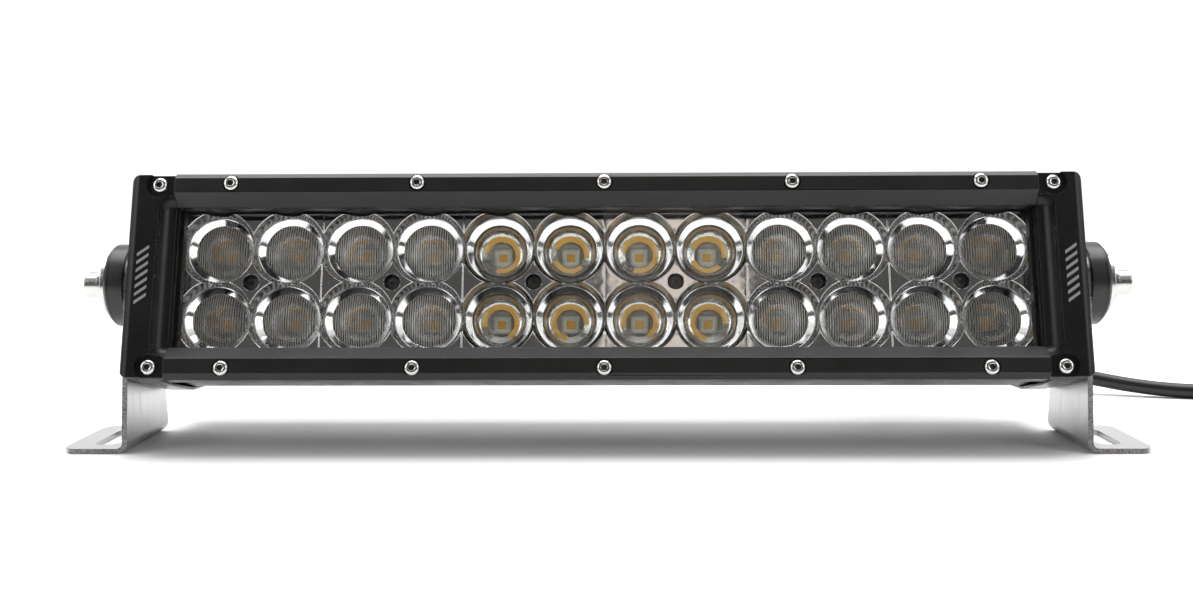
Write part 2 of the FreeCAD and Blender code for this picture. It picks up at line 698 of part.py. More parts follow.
def led_emitters():
    body = new_body("led_emitters")
    sketch = new_sketch(body, "XZ", offset=-BOARD_FRONT)
    half = S.emitter_size * 0.5
    for column in range(2 * MODULES):
        x = S.cell * (column - MODULES + 0.5)
        for level in (-0.5, 0.5):
            z = S.cell * level
            draw_rectangle(sketch, x - half, x + half, z - half, z + half)
    pad(body, sketch, S.emitter_height)
    keep(body)


def driver():
    """The driver board in its tunnel, the parts soldered on it and its leads to the LED board."""
    board = new_body("driver_board")
    front = TUNNEL_BACK - 2.4
    sketch = new_sketch(board, "YZ", offset=-100)
    draw_rectangle(sketch, front, front + 1.6, -S.tunnel_half + 0.2, S.tunnel_half - 0.2)
    pad(board, sketch, 172.0)
    keep(board)

    parts = new_body("driver_components")
    sketch = new_sketch(parts, "XZ", offset=-front)
    for x, size_x, size_z in ((-84, 14, 14), (-56, 10, 18), (-26, 14, 14), (8, 8, 24), (42, 12, 12)):
        draw_rectangle(sketch, x - size_x / 2, x + size_x / 2, -size_z / 2, size_z / 2)
    pad(parts, sketch, 6.5)
    keep(parts)

    leads = new_body("internal_leads")
    sketch = new_sketch(leads, "XZ", offset=-front)
    for height in (-1.3, 1.3):
        draw_circle(sketch, S.lead_hole_place, height, 0.8)
    pad(leads, sketch, front - BOARD_FRONT)
    keep(leads)


# Fasteners


def hex_socket(body, plane, x, z, offset, across, depth):
    """A hexagon socket sunk into a head, drawn by its six corners."""
    sketch = new_sketch(body, plane, offset=offset)
    x, z = as_size(x), as_size(z)
    radius, half, rise = (across * share for share in (3 ** -0.5, 0.5 * 3 ** -0.5, 0.5))
    draw_polygon(sketch, [
        (x + radius, z), (x + half, z + rise), (x - half, z + rise),
        (x - radius, z), (x - half, z - rise), (x + half, z - rise),
    ])
    return pocket(body, sketch, depth)


def face_screw(body, x, seat, height, length):
    """One M3 screw pointing into the face, its head standing forward of its seat."""
    head = turn(body, "Revolution", "Y", (x, seat - S.head_height, height), SCREW_HEAD + [
        (S.head_height, S.head_radius),
        (S.head_height, S.thread_radius),
        (S.head_height + length, S.thread_radius),
        (S.head_height + length, 0),
    ])
    socket = hex_socket(body, "XZ", x, height, -(seat - S.head_height), S.socket_across, S.socket_depth)
    return [head, socket]


def strip_screws(name, level):
    body = new_body(name + "_strip_screws")
    features = face_screw(body, -2 * S.strip_screw_pitch, S.face_depth + S.strip_recess_depth,
                          level * S.strip_screw_height, S.face_screw_length)
    row_of(body, features, 4 * S.strip_screw_pitch, STRIP_SCREWS)
    keep(body)


def reflector_screws():
    body = new_body("reflector_screws")
    seat = S.reflector_depth + S.reflector_recess_depth
    features = face_screw(body, -5 * S.cell, seat, 0, S.floor_depth + S.base_thick - seat - 0.5)
    row_of(body, features, 10 * S.cell, MODULES)
    keep(body)


def cap_screws():
    body = new_body("right_cap_screws")
    for level in LEVELS.values():
        face_screw(body, S.cap_screw_place, S.face_depth + S.cap_recess_depth, level * S.cap_screw_height,
                   S.face_screw_length)
    keep_pair("cap_screws", body)

    side = new_body("right_cap_side_screws")
    for level in LEVELS.values():
        turn(side, "Revolution", "X", (S.cap_outer - 2, S.port_depth, level * S.port_height), [
            (-14, 0),
            (-14, S.thread_radius),
            (0, S.thread_radius),
            (0, S.head_radius),
            (1.6, S.head_radius),
            (1.6, 0),
        ])
        hex_socket(side, "YZ", S.port_depth, level * S.port_height, S.cap_outer - 0.4, S.socket_across,
                   S.socket_depth)
    keep_pair("cap_side_screws", side)


# The tilt axis and the brackets


def pivot_hardware():
    washer = new_body("right_flat_washer")
    turn(washer, "Revolution", "X", (S.washer_place, 0, 0), [
        (0, S.pivot_clear),
        (0, S.flat_washer_radius),
        (S.flat_washer_thick - 0.3, S.flat_washer_radius),
        (S.flat_washer_thick, S.flat_washer_radius - 0.3),
        (S.flat_washer_thick, S.pivot_clear),
    ])
    keep_pair("flat_washer", washer)

    spring = new_body("right_spring_washer")
    spring_place = S.washer_place + S.flat_washer_thick
    turn(spring, "Revolution", "X", (spring_place, 0, 0), [
        (0, S.pivot_clear),
        (0, S.spring_washer_radius),
        (S.spring_washer_thick, S.spring_washer_radius),
        (S.spring_washer_thick, S.pivot_clear),
    ])
    keep_pair("spring_washer", spring)

    screw = new_body("right_pivot_screw")
    head_place = spring_place + S.spring_washer_thick
    edge = 0.6
    turn(screw, "Revolution", "X", (head_place, 0, 0), [
        (S.pivot_length * -1, 0),
        (S.pivot_length * -1, S.pivot_radius),
        (0, S.pivot_radius),
        (0, S.pivot_flange_radius),
        (S.pivot_flange_thick, S.pivot_flange_radius),
        (S.pivot_flange_thick, S.pivot_head_radius),
        (S.pivot_head_height - edge, S.pivot_head_radius),
        (S.pivot_head_height, S.pivot_head_radius - edge),
        (S.pivot_head_height, 0),
    ])
    hex_socket(screw, "YZ", 0, 0, head_place + S.pivot_head_height, S.pivot_socket_across,
               S.pivot_socket_depth)
    keep_pair("pivot_screw", screw)


def isolator():
    body = new_body("right_isolator")
    start = S.bracket_inner + S.bracket_thick
    turn(body, "Revolution", "X", (start, 0, 0), [
        (0, S.pivot_clear),
        (0, S.isolator_radius),
        (S.isolator_thick - S.isolator_edge, S.isolator_radius),
        (S.isolator_thick, S.isolator_radius - S.isolator_edge),
        (S.isolator_thick, S.pivot_clear),
    ])
    keep_pair("isolator", body, "axis")


def bracket():
    """Sheet bracket: an upright ear that tapers to the tilt axis, and a slotted foot turned out."""
    body = new_body("right_bracket")
    top = S.ear_half_width
    outside = S.bracket_inner + S.bracket_thick
    foot = -S.axis_height
    profile = new_sketch(body, "XZ", offset=-S.foot_half_width)
    draw_polygon(profile, [
        (S.bracket_inner, foot), (S.foot_end, foot), (S.foot_end, foot + S.bracket_thick),
        (outside, foot + S.bracket_thick), (outside, top), (S.bracket_inner, top),
    ])
    sheet_metal = pad(body, profile, 2 * S.foot_half_width)
    low = foot.value + 3
    inner_x = S.bracket_inner.value
    sheet_metal = round_edges(body, sheet_metal, S.bend_inside, lambda mid, box: (
        box.YLength > 20 and mid.z < low and inner_x + 1 < mid.x < inner_x + 3))
    sheet_metal = round_edges(body, sheet_metal, S.bend_outside, lambda mid, box: (
        box.YLength > 20 and mid.z < low and abs(mid.x - inner_x) < 0.5))
    for side in (-1, 1):
        wedge = new_sketch(body, "YZ", offset=S.bracket_inner - 1)
        draw_polygon(wedge, [
            (side * S.foot_half_width, foot + S.foot_taper_start),
            (side * S.ear_half_width, 0),
            (side * S.ear_half_width, top + 2),
            (side * (S.foot_half_width + 5), top + 2),
            (side * (S.foot_half_width + 5), foot + S.foot_taper_start),
        ])
        sheet_metal = pocket(body, wedge, S.bracket_thick + 2, reverse=True)
    sheet_metal = round_edges(body, sheet_metal, S.ear_half_width - 0.1, lambda mid, box: (
        box.XLength > 1 and box.YLength < 0.1 and mid.z > top.value - 1))
    sheet_metal = round_edges(body, sheet_metal, S.foot_corner, lambda mid, box: (
        box.ZLength > 1 and mid.x > S.foot_end.value - 0.1 and box.YLength < 0.1))
    foot_slot(body, foot)
    drill(body, "X", S.bracket_inner, 0, 0, S.pivot_clear, S.bracket_thick)
    keep_pair("bracket", body, "axis")


def foot_slot(body, foot):
    """The mounting slot, running front to back through the foot."""
    sketch = new_sketch(body, "XY", offset=foot)
    draw_rectangle(sketch, S.slot_place - S.slot_radius, S.slot_place + S.slot_radius,
                   -S.slot_half_travel, S.slot_half_travel)
    pocket(body, sketch, S.bracket_thick, reverse=True)
    for end in (-1, 1):
        sketch = new_sketch(body, "XY", offset=foot)
        draw_circle(sketch, S.slot_place, end * S.slot_half_travel, S.slot_radius)
        pocket(body, sketch, S.bracket_thick, reverse=True)


# The cable's way out


def gland_and_vent():
    bore = S.cable_radius + S.gland_seal_thick
    snug = S.cable_radius + 0.05
    seat = (S.gland_place, TUNNEL_OUTSIDE, S.gland_height)

    gland = new_body("cable_gland")
    turn(gland, "Revolution", "Y", seat, [
        (S.gland_thread_length * -1, bore),
        (S.gland_thread_length * -1, S.gland_thread),
        (0, S.gland_thread),
        (0, S.gland_flange),
        (S.gland_flange_thick, S.gland_flange),
        (S.gland_flange_thick, S.gland_collar),
        (S.gland_length, S.gland_collar),
        (S.gland_length, bore),
    ])
    keep(gland)

    seal = new_body("gland_seal")
    seal_start, seal_end = 2, S.gland_length + 2
    turn(seal, "Revolution", "Y", seat, [
        (seal_start, snug), (seal_start, bore - 0.05), (seal_end, bore - 0.05), (seal_end, snug),
    ])
    keep(seal)

    nut = new_body("gland_nut")
    nut_start, nut_floor = S.gland_flange_thick + 1, S.gland_length + 2.5
    nut_end = S.nut_shoulder + S.nut_nose_length
    nut_inside = S.gland_collar + 0.1
    turn(nut, "Revolution", "Y", seat, [
        (nut_start, nut_inside),
        (nut_start, S.nut_radius),
        (S.nut_shoulder, S.nut_radius),
        (S.nut_shoulder + 3, S.nut_radius - 1),
        (nut_end - 2.5, S.nut_nose + 1.6),
        (nut_end, S.nut_nose),
        (nut_end, snug),
        (nut_floor, snug),
        (nut_floor, nut_inside),
    ])
    keep(nut)

    vent = new_body("breather_vent")
    turn(vent, "Revolution", "Y", (S.vent_place, TUNNEL_OUTSIDE, 0), [
        (S.vent_thread_length * -1, 0),
        (S.vent_thread_length * -1, S.vent_thread),
        (0, S.vent_thread),
        (0, S.vent_radius),
        (S.vent_height - S.vent_edge, S.vent_radius),
        (S.vent_height, S.vent_radius - 0.9),
        (S.vent_height, 0),
    ])
    keep(vent)


# The cable. Its places are in the row's own frame, in mm, with the bar at its rest tilt.

LEAD_ROUTE = [
    (110.0, 38.9, 54.4),
    (110.0, 68.0, 45.8),
    (125.5, 90.0, 36.0),
    (152.0, 99.0, 25.5),
    (182.0, 96.0, 15.5),
    (213.0, 86.5, 8.0),
    (245.0, 75.5, 3.25),
    (275.0, 69.5, 3.25),
    (302.5, 64.7, 3.25),
]
TAIL_ROUTE = [
    (330.1, 25.3, 9.75),
    (326.9, 8.2, 7.9),
    (322.6, -8.0, 7.5),
]
COIL_CENTRE = (296.65, 31.2)
COIL_LAYERS = 2
TIE_ANGLE = 35.0
ARC_SHARE = 0.45


def tube(name, route, radius, stop=None):
    """A round tube along straight runs joined by tangent arcs as large as the runs allow.

    It ends where it meets the body given as stop.
    """
    points = [Vector(*place) for place in route]
    edges = []
    radii = []
    reached = points[0]
    for before, corner, after in zip(points, points[1:], points[2:]):
        back = (before - corner).normalize()
        onward = (after - corner).normalize()
        reach = ARC_SHARE * min((before - corner).Length, (after - corner).Length)
        half_turn = (-back).getAngle(onward) / 2
        arc_radius = reach / math.tan(half_turn)
        inward = (back + onward).normalize()
        sagitta = arc_radius / math.cos(half_turn) - arc_radius
        entry, leave = corner + back * reach, corner + onward * reach
        edges.append(Part.LineSegment(reached, entry).toShape())
        edges.append(Part.Arc(entry, corner + inward * sagitta, leave).toShape())
        radii.append(round(arc_radius, 1))
        reached = leave
    edges.append(Part.LineSegment(reached, points[-1]).toShape())
    path = Part.Wire(edges)
    start = (points[1] - points[0]).normalize()
    ring = Part.Wire(Part.makeCircle(radius.value, points[0], start))
    piece = doc.addObject("Part::Feature", name if stop is None else name + "_run")
    piece.Shape = path.makePipeShell([ring], True, True)
    volume = math.pi * radius.value ** 2 * path.Length
    print(name, "length", round(path.Length, 1), "arc radii", radii,
          "volume ratio", round(piece.Shape.Volume / volume, 4))
    if stop is not None:
        run, piece = piece, doc.addObject("Part::Cut", name)
        piece.Base, piece.Tool = run, stop
    keep(piece, "free")


def coil():
    """The put-away length as one closed ring, and the strap round it."""
    x, y = COIL_CENTRE
    body = new_body("cable_coil")
    sketch = new_sketch(body, "XY")
    draw_circle(sketch, x, y, S.coil_mid_radius + S.cable_radius)
    draw_circle(sketch, x, y, S.coil_mid_radius - S.cable_radius)
    height = 2 * COIL_LAYERS * S.cable_radius
    pad(body, sketch, height)
    keep(body, "free")

    tie = new_body("coil_tie")
    sketch = new_sketch(tie, "XZ", offset=S.tie_width * -0.5)
    inner, outer = S.coil_mid_radius - S.cable_radius, S.coil_mid_radius + S.cable_radius
    draw_rectangle(sketch, inner - S.tie_thick, outer + S.tie_thick, 0, height + S.tie_thick)
    draw_rectangle(sketch, inner + 0.01, outer - 0.01, S.tie_thick, height - 0.01)
    pad(tie, sketch, S.tie_width)
    tie.Placement = Placement(Vector(x, y, 0), Rotation(Vector(0, 0, 1), TIE_ANGLE))
    keep(tie, "free")
    return body


def connector():
    """Two-way weatherproof plug on the end of the cable, lying on the surface."""
    end, before = Vector(*TAIL_ROUTE[-1]), Vector(*TAIL_ROUTE[-2])
    heading = math.degrees(math.atan2(end.y - before.y, end.x - before.x))
    lie = Placement(end, Rotation(Vector(0, 0, 1), heading))
    half_wide, half_high = S.plug_half_wide, end.z
    grip, bush = 4.4, 5.2
    block_end = S.plug_collar_length + S.plug_length
    nose_end = block_end + S.plug_nose
    inset = S.plug_nose_step

    collar = new_body("connector_collar")
    turn(collar, "Revolution", "X", (0, 0, 0), [
        (0, 0),
        (0, grip),
        (6, bush),
        (6, S.plug_collar),
        (S.plug_collar_length, S.plug_collar),
        (S.plug_collar_length, 0),
    ])

    shell = new_body("connector_body")
    sketch = new_sketch(shell, "YZ", offset=S.plug_collar_length)
    draw_rectangle(sketch, -half_wide, half_wide, -half_high, half_high)
    block = pad(shell, sketch, S.plug_length)
    block = round_edges(shell, block, 2.0, lambda mid, box: box.XLength > 10)
    nose = new_sketch(shell, "YZ", offset=block_end)
    draw_rectangle(nose, -half_wide + inset, half_wide - inset, -half_high + inset, half_high - inset)
    pad(shell, nose, S.plug_nose)
    latch_start, latch_length, latch_half, latch_rise = 16, 18.0, 2.5, 1.6
    latch = new_sketch(shell, "YZ", offset=latch_start)
    draw_rectangle(latch, -latch_half, latch_half, half_high - 1, half_high + latch_rise)
    pad(shell, latch, latch_length)

    terminals = new_body("connector_terminals")
    sketch = new_sketch(terminals, "YZ", offset=block_end + 2)
    for side in (S.terminal_apart * -1, S.terminal_apart * 1):
        drill(shell, "X", block_end + 2, side, 0, S.terminal_radius + 0.15, nose_end - block_end - 2)
        draw_circle(sketch, side, 0, S.terminal_radius)
    pad(terminals, sketch, 9.0)
    for item in (collar, shell, terminals):
        item.Placement = lie
        keep(item, "free")


def build():
    heatsink_housing()
    end_cap()
    end_gasket()
    for name, level in LEVELS.items():
        lens_strip(name, level)
        strip_screws(name, level)
    front_lens()
    lens_gasket()
    for number, centre in module_centres():
        reflector(number, centre)
        optics(number, centre)
    plate_with_holes("led_board", BOARD_FRONT, S.board_thick)
    plate_with_holes("thermal_pad", BOARD_BACK, S.floor_depth - BOARD_BACK)
    led_emitters()
    driver()
    reflector_screws()
    cap_screws()
    pivot_hardware()
    isolator()
    bracket()
    gland_and_vent()
    ring = coil()
    tube("cable_lead", LEAD_ROUTE, S.cable_radius, stop=ring)
    tube("cable_tail", TAIL_ROUTE, S.cable_radius)
    connector()
    doc.recompute()


def check():
    """Stop if any object failed or any sub-part isn't a valid solid."""
    for item in doc.Objects:
        if {"Invalid", "Error"} & set(item.State):
            raise RuntimeError(f"{item.Label} is {item.State}: {item.getStatusString()}")
    for item in PARTS:
        shape = item.Shape
        if shape.isNull() or not shape.isValid() or not shape.Solids or shape.Volume <= 0:
            raise RuntimeError(f"{item.Label} has no valid solid")


build()
check()
os.makedirs("parts", exist_ok=True)
for item in PARTS:
    item.Shape.exportStep(f"parts/{item.Label}.step")
print(len(PARTS), "parts written")
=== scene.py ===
"""Looks for the LED light bar: optics, reflectors, satin black housing, stainless feet and the cable."""

import json
import math

import bmesh
import bpy
import numpy as np
from mathutils import Matrix, Vector


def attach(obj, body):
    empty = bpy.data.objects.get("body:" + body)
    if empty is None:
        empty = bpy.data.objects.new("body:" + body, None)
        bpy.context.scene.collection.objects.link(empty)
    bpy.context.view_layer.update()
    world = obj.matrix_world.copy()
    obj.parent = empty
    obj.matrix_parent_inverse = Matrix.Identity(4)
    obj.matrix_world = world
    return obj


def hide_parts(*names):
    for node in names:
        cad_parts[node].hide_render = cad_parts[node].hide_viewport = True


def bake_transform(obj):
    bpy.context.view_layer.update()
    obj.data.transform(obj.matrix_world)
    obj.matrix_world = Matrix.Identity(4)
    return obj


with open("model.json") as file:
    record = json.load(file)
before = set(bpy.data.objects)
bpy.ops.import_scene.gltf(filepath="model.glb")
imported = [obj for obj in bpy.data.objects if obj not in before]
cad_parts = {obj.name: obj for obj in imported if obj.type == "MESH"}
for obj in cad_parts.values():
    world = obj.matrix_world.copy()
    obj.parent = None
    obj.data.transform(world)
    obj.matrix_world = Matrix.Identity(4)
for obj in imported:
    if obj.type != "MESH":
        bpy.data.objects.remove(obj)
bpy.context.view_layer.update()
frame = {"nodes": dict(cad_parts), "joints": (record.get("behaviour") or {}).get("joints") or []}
NODES = frame["nodes"]
HINGE = Vector(frame["joints"][0]["pos_m"])
REST_TILT = math.radians(16.5)
MM = 0.001


# ---------------------------------------------------------------- camera
CAMERA_PLACE = (0.00428, -0.47259, 0.09982)
CAMERA_PITCH, CAMERA_YAW, CAMERA_ROLL = 5.649, -0.92, 0.22
CAMERA_LENS = 37.4


def make_camera():
    """The camera, half a metre in front of the lamp, level with its top and looking slightly down."""
    pitch, yaw, roll = (math.radians(angle) for angle in (CAMERA_PITCH, CAMERA_YAW, CAMERA_ROLL))
    ahead = Vector((math.sin(yaw) * math.cos(pitch), math.cos(yaw) * math.cos(pitch), -math.sin(pitch)))
    level = Vector((math.cos(yaw), -math.sin(yaw), 0))
    below = ahead.cross(level)
    right = level * math.cos(roll) + below * math.sin(roll)
    down = below * math.cos(roll) - level * math.sin(roll)
    data = bpy.data.cameras.new("camera")
    data.lens = CAMERA_LENS
    data.clip_start = 0.02
    camera = bpy.data.objects.new("camera", data)
    bpy.context.scene.collection.objects.link(camera)
    stance = Matrix((right, -down, -ahead)).transposed().to_4x4()
    stance.translation = CAMERA_PLACE
    camera.matrix_world = stance
    bpy.context.scene.camera = camera


make_camera()


# ---------------------------------------------------------------- nodes
# The numbers of the colour sockets of a Mix node, whose names are shared with its other sockets
MIX_FIRST, MIX_SECOND, MIX_RESULT = 6, 7, 2


def wired(tree, kind, inputs=None, **settings):
    """A new node. inputs gives a socket, by name or number, its value or the output that feeds it."""
    node = tree.nodes.new(kind)
    for key, value in settings.items():
        setattr(node, key, value)
    for key, value in (inputs or {}).items():
        if isinstance(value, bpy.types.NodeSocket):
            tree.links.new(value, node.inputs[key])
        else:
            node.inputs[key].default_value = value
    return node


def maths(tree, operation, *values):
    return wired(tree, "ShaderNodeMath", dict(enumerate(values)), operation=operation).outputs[0]


def ramp(tree, source, start, end, low=0.0, high=1.0):
    """Takes start to end of the source to low to high, and stays there beyond."""
    limits = {"From Min": start, "From Max": end, "To Min": low, "To Max": high}
    return wired(tree, "ShaderNodeMapRange", {"Value": source, **limits}).outputs["Result"]


def mixed_colour(tree, share, first, second):
    inputs = {0: share, MIX_FIRST: (*first, 1), MIX_SECOND: (*second, 1)}
    return wired(tree, "ShaderNodeMix", inputs, data_type="RGBA").outputs[MIX_RESULT]


def mixed_shader(tree, share, first, second):
    return wired(tree, "ShaderNodeMixShader", {"Fac": share, 1: first, 2: second}).outputs[0]


def bare_material(name):
    """A new material with nothing but its output, and the socket for its surface."""
    material = bpy.data.materials.new(name)
    material.use_nodes = True
    tree = material.node_tree
    tree.nodes.remove(tree.nodes["Principled BSDF"])
    return material, tree, tree.nodes["Material Output"].inputs["Surface"]


class Shader:
    """A new material on the standard shader, with noise, colours and bumps fixed to the object."""

    def __init__(self, name, base, roughness, metallic=0.0, specular=0.5):
        self.material = bpy.data.materials.new(name)
        self.material.use_nodes = True
        self.tree = self.material.node_tree
        self.bsdf = self.tree.nodes["Principled BSDF"]
        self.bsdf.inputs["Base Color"].default_value = (*base, 1)
        self.bsdf.inputs["Roughness"].default_value = roughness
        self.bsdf.inputs["Metallic"].default_value = metallic
        self.bsdf.inputs["Specular IOR Level"].default_value = specular
        self.place = self.add("ShaderNodeTexCoord").outputs["Object"]

    def add(self, kind, inputs=None):
        return wired(self.tree, kind, inputs)

    def part_of(self, vector, axis):
        return self.add("ShaderNodeSeparateXYZ", {"Vector": vector}).outputs[axis]

    def noise(self, size_mm, detail=3.0, scale=(1, 1, 1)):
        """Noise whose features are about size_mm across."""
        where = self.place
        if scale != (1, 1, 1):
            where = self.add("ShaderNodeMapping", {"Vector": where, "Scale": scale}).outputs["Vector"]
        inputs = {"Vector": where, "Scale": 1 / (size_mm * MM), "Detail": detail}
        return self.add("ShaderNodeTexNoise", inputs).outputs["Fac"]

    def spread(self, source, low, high, start=0.3, end=0.7):
        return ramp(self.tree, source, start, end, low, high)

    def roughness(self, source, low, high):
        self.tree.links.new(self.spread(source, low, high), self.bsdf.inputs["Roughness"])

    def colours(self, source, first, second):
        self.tree.links.new(mixed_colour(self.tree, source, first, second), self.bsdf.inputs["Base Color"])

    def bump(self, *layers):
        """Each layer is (height source, depth in mm)."""
        below = {}
        for source, depth in layers:
            inputs = {"Height": source, "Strength": 1.0, "Distance": depth * MM, **below}
            below = {"Normal": self.add("ShaderNodeBump", inputs).outputs["Normal"]}
        self.tree.links.new(below["Normal"], self.bsdf.inputs["Normal"])


# ---------------------------------------------------------------- materials
OPTIC_IOR, WINDOW_IOR = 1.49, 1.4
CLEAR_WINDOW = (0.985, 0.99, 0.985, 1)
# Hazy white of the flutes' crests, partly frosting and partly painted highlight
FLUTE_HAZE_AND_HIGHLIGHT = (0.8, 0.8, 0.79, 1)
# Distance from the middle of the bar, in metres, over which painted shade darkens the isolators' rims
SHADED_RIM_START, SHADED_RIM_END = 0.1785, 0.1788


def coated(name, base, low, high, grain_mm, depth, stretch=(1, 1, 1), specular=0.5):
    """Powder coat, anodising or moulded plastic: a fine grain, with gloss that wanders a little."""
    shader = Shader(name, base, low, specular=specular)
    shader.roughness(shader.noise(14, 4), low, high)
    shader.colours(shader.noise(9, 5), base, tuple(1.35 * part for part in base))
    shader.bump((shader.noise(grain_mm, 2, stretch), depth))
    return shader.material


def steel(name, base, low, high, depth=0.01):
    """Bright metal, with fine marks from its working."""
    shader = Shader(name, base, low, metallic=1.0)
    lines = shader.noise(0.9, 4)
    shader.roughness(lines, low, high)
    shader.colours(shader.noise(6, 4), base, tuple(0.86 * part for part in base))
    shader.bump((lines, depth))
    return shader.material


def chrome():
    """Vacuum-metallised plastic: bright, with the slight waviness of the moulding under it."""
    shader = Shader("reflector_mirror", (0.80, 0.79, 0.80), 0.05, metallic=1.0)
    shader.roughness(shader.noise(3, 3), 0.08, 0.13)
    shader.bump((shader.noise(9, 2), 0.12))
    return shader.material


def rubber_with_rim_shade():
    """Satin moulded rubber, with a darker rim at the outer end: painted shade for its chamfered edge."""
    shader = Shader("isolator", (0.02, 0.02, 0.02), 0.3, specular=0.4)
    shader.roughness(shader.noise(5, 3), 0.26, 0.36)
    outward = maths(shader.tree, "ABSOLUTE", shader.part_of(shader.place, "X"))
    # Painted shade: beyond this distance the rubber's colour turns darker
    rim = shader.spread(outward, 0, 1, SHADED_RIM_START, SHADED_RIM_END)
    shader.colours(rim, (0.013, 0.013, 0.013), (0.003, 0.003, 0.003))
    shader.bump((shader.noise(0.6, 2), 0.01))
    return shader.material


def frosted():
    """The inside of an optic, where the moulded facets throw the light back in patches: bumps give real
    reflections, and the colour holds painted light and shade.
    """
    shader = Shader("optic_inside", (0.66, 0.64, 0.63), 0.2, metallic=1.0)
    shader.roughness(shader.noise(1.3, 3), 0.12, 0.3)
    # Painted light and shade: bright and dark patches in the colour
    shader.colours(shader.noise(2.4, 4), (0.78, 0.76, 0.75), (0.42, 0.40, 0.40))
    shader.bump((shader.noise(3.4, 3), 0.30), (shader.noise(0.8, 3), 0.04))
    return shader.material


def seen_through(name, tint, pitch_mm=None):
    """Clear optics that let the lamps' light through, with upright flutes if a pitch is given: painted shade
    tints the glass darker in their troughs, and their crests turn a hazy white, partly frosting and partly
    painted highlight.
    """
    material, tree, surface = bare_material(name)
    body = (*tint, 1)
    if pitch_mm:
        place = wired(tree, "ShaderNodeTexCoord").outputs["Object"]
        across = wired(tree, "ShaderNodeSeparateXYZ", {0: place}).outputs["X"]
        wave = maths(tree, "COSINE", maths(tree, "MULTIPLY", across, 2 * math.pi / (pitch_mm * MM)))
        # Painted shade: the glass is tinted darker in the flutes' troughs
        body = ramp(tree, wave, -1.0, 0.2, 0.35, 1.0)
    glass = wired(tree, "ShaderNodeBsdfGlass", {"Color": body, "Roughness": 0.0, "IOR": OPTIC_IOR})
    clear = wired(tree, "ShaderNodeBsdfTransparent", {"Color": (*tint, 1)})
    path = wired(tree, "ShaderNodeLightPath").outputs
    straight = maths(tree, "MAXIMUM", path["Is Shadow Ray"], path["Is Diffuse Ray"])
    look = mixed_shader(tree, straight, glass.outputs[0], clear.outputs[0])
    if pitch_mm:
        # Hazy white on the flutes' crests: partly frosting, partly painted highlight
        hazy_highlight = wired(tree, "ShaderNodeBsdfTranslucent", {"Color": FLUTE_HAZE_AND_HIGHLIGHT})
        white = wired(tree, "ShaderNodeBsdfDiffuse", {"Color": FLUTE_HAZE_AND_HIGHLIGHT})
        both = wired(tree, "ShaderNodeAddShader", {0: hazy_highlight.outputs[0], 1: white.outputs[0]})
        crest_highlight = ramp(tree, wave, 0.3, 1.0, 0.0, 0.3)
        look = mixed_shader(tree, crest_highlight, look, both.outputs[0])
    tree.links.new(look, surface)
    return material


def window():
    """The flat cover: what is behind it shows, under a faint even reflection."""
    material, tree, surface = bare_material("window_pane")
    clear = wired(tree, "ShaderNodeBsdfTransparent", {"Color": CLEAR_WINDOW})
    mirror = wired(tree, "ShaderNodeBsdfGlossy", {"Roughness": 0.03})
    fresnel = wired(tree, "ShaderNodeFresnel", {"IOR": WINDOW_IOR})
    inside = wired(tree, "ShaderNodeNewGeometry").outputs["Backfacing"]
    share = maths(tree, "MULTIPLY", fresnel.outputs[0], maths(tree, "SUBTRACT", 1.0, inside))
    tree.links.new(mixed_shader(tree, share, clear.outputs[0], mirror.outputs[0]), surface)
    return material


def sheet_steel():
    """Brushed stainless sheet, with coarse broken metal on its sheared edges."""
    shader = Shader("bracket_steel", (0.54, 0.54, 0.54), 0.3, metallic=1.0)
    lines = shader.noise(0.7, 4, (1, 1, 0.04))
    shader.roughness(lines, 0.3, 0.46)
    facing = shader.part_of(shader.add("ShaderNodeTexCoord").outputs["Normal"], "Y")
    edge = shader.spread(maths(shader.tree, "ABSOLUTE", facing), 0, 1, 0.75, 0.9)
    broken = shader.noise(0.55, 5)
    dark = shader.spread(broken, 0.55, 1.0, 0.35, 0.65)
    shade = maths(shader.tree, "MULTIPLY", edge, dark)
    shader.colours(shade, (0.54, 0.54, 0.54), (0.09, 0.08, 0.075))
    rough = maths(shader.tree, "MULTIPLY", edge, broken)
    shader.bump((lines, 0.006), (rough, 0.25))
    return shader.material


def phosphor():
    """Yellow phosphor, with painted light of its own: it gives off a little light though the LED is not lit.
    """
    shader = Shader("phosphor", (0.75, 0.42, 0.08), 0.5)
    shader.colours(shader.noise(0.6, 3), (0.76, 0.45, 0.09), (0.68, 0.36, 0.065))
    # Painted light: the phosphor emits, though the LED is off
    shader.bsdf.inputs["Emission Color"].default_value = (1.0, 0.49, 0.08, 1)
    shader.bsdf.inputs["Emission Strength"].default_value = 0.12
    shader.bump((shader.noise(0.25, 2), 0.01))
    return shader.material


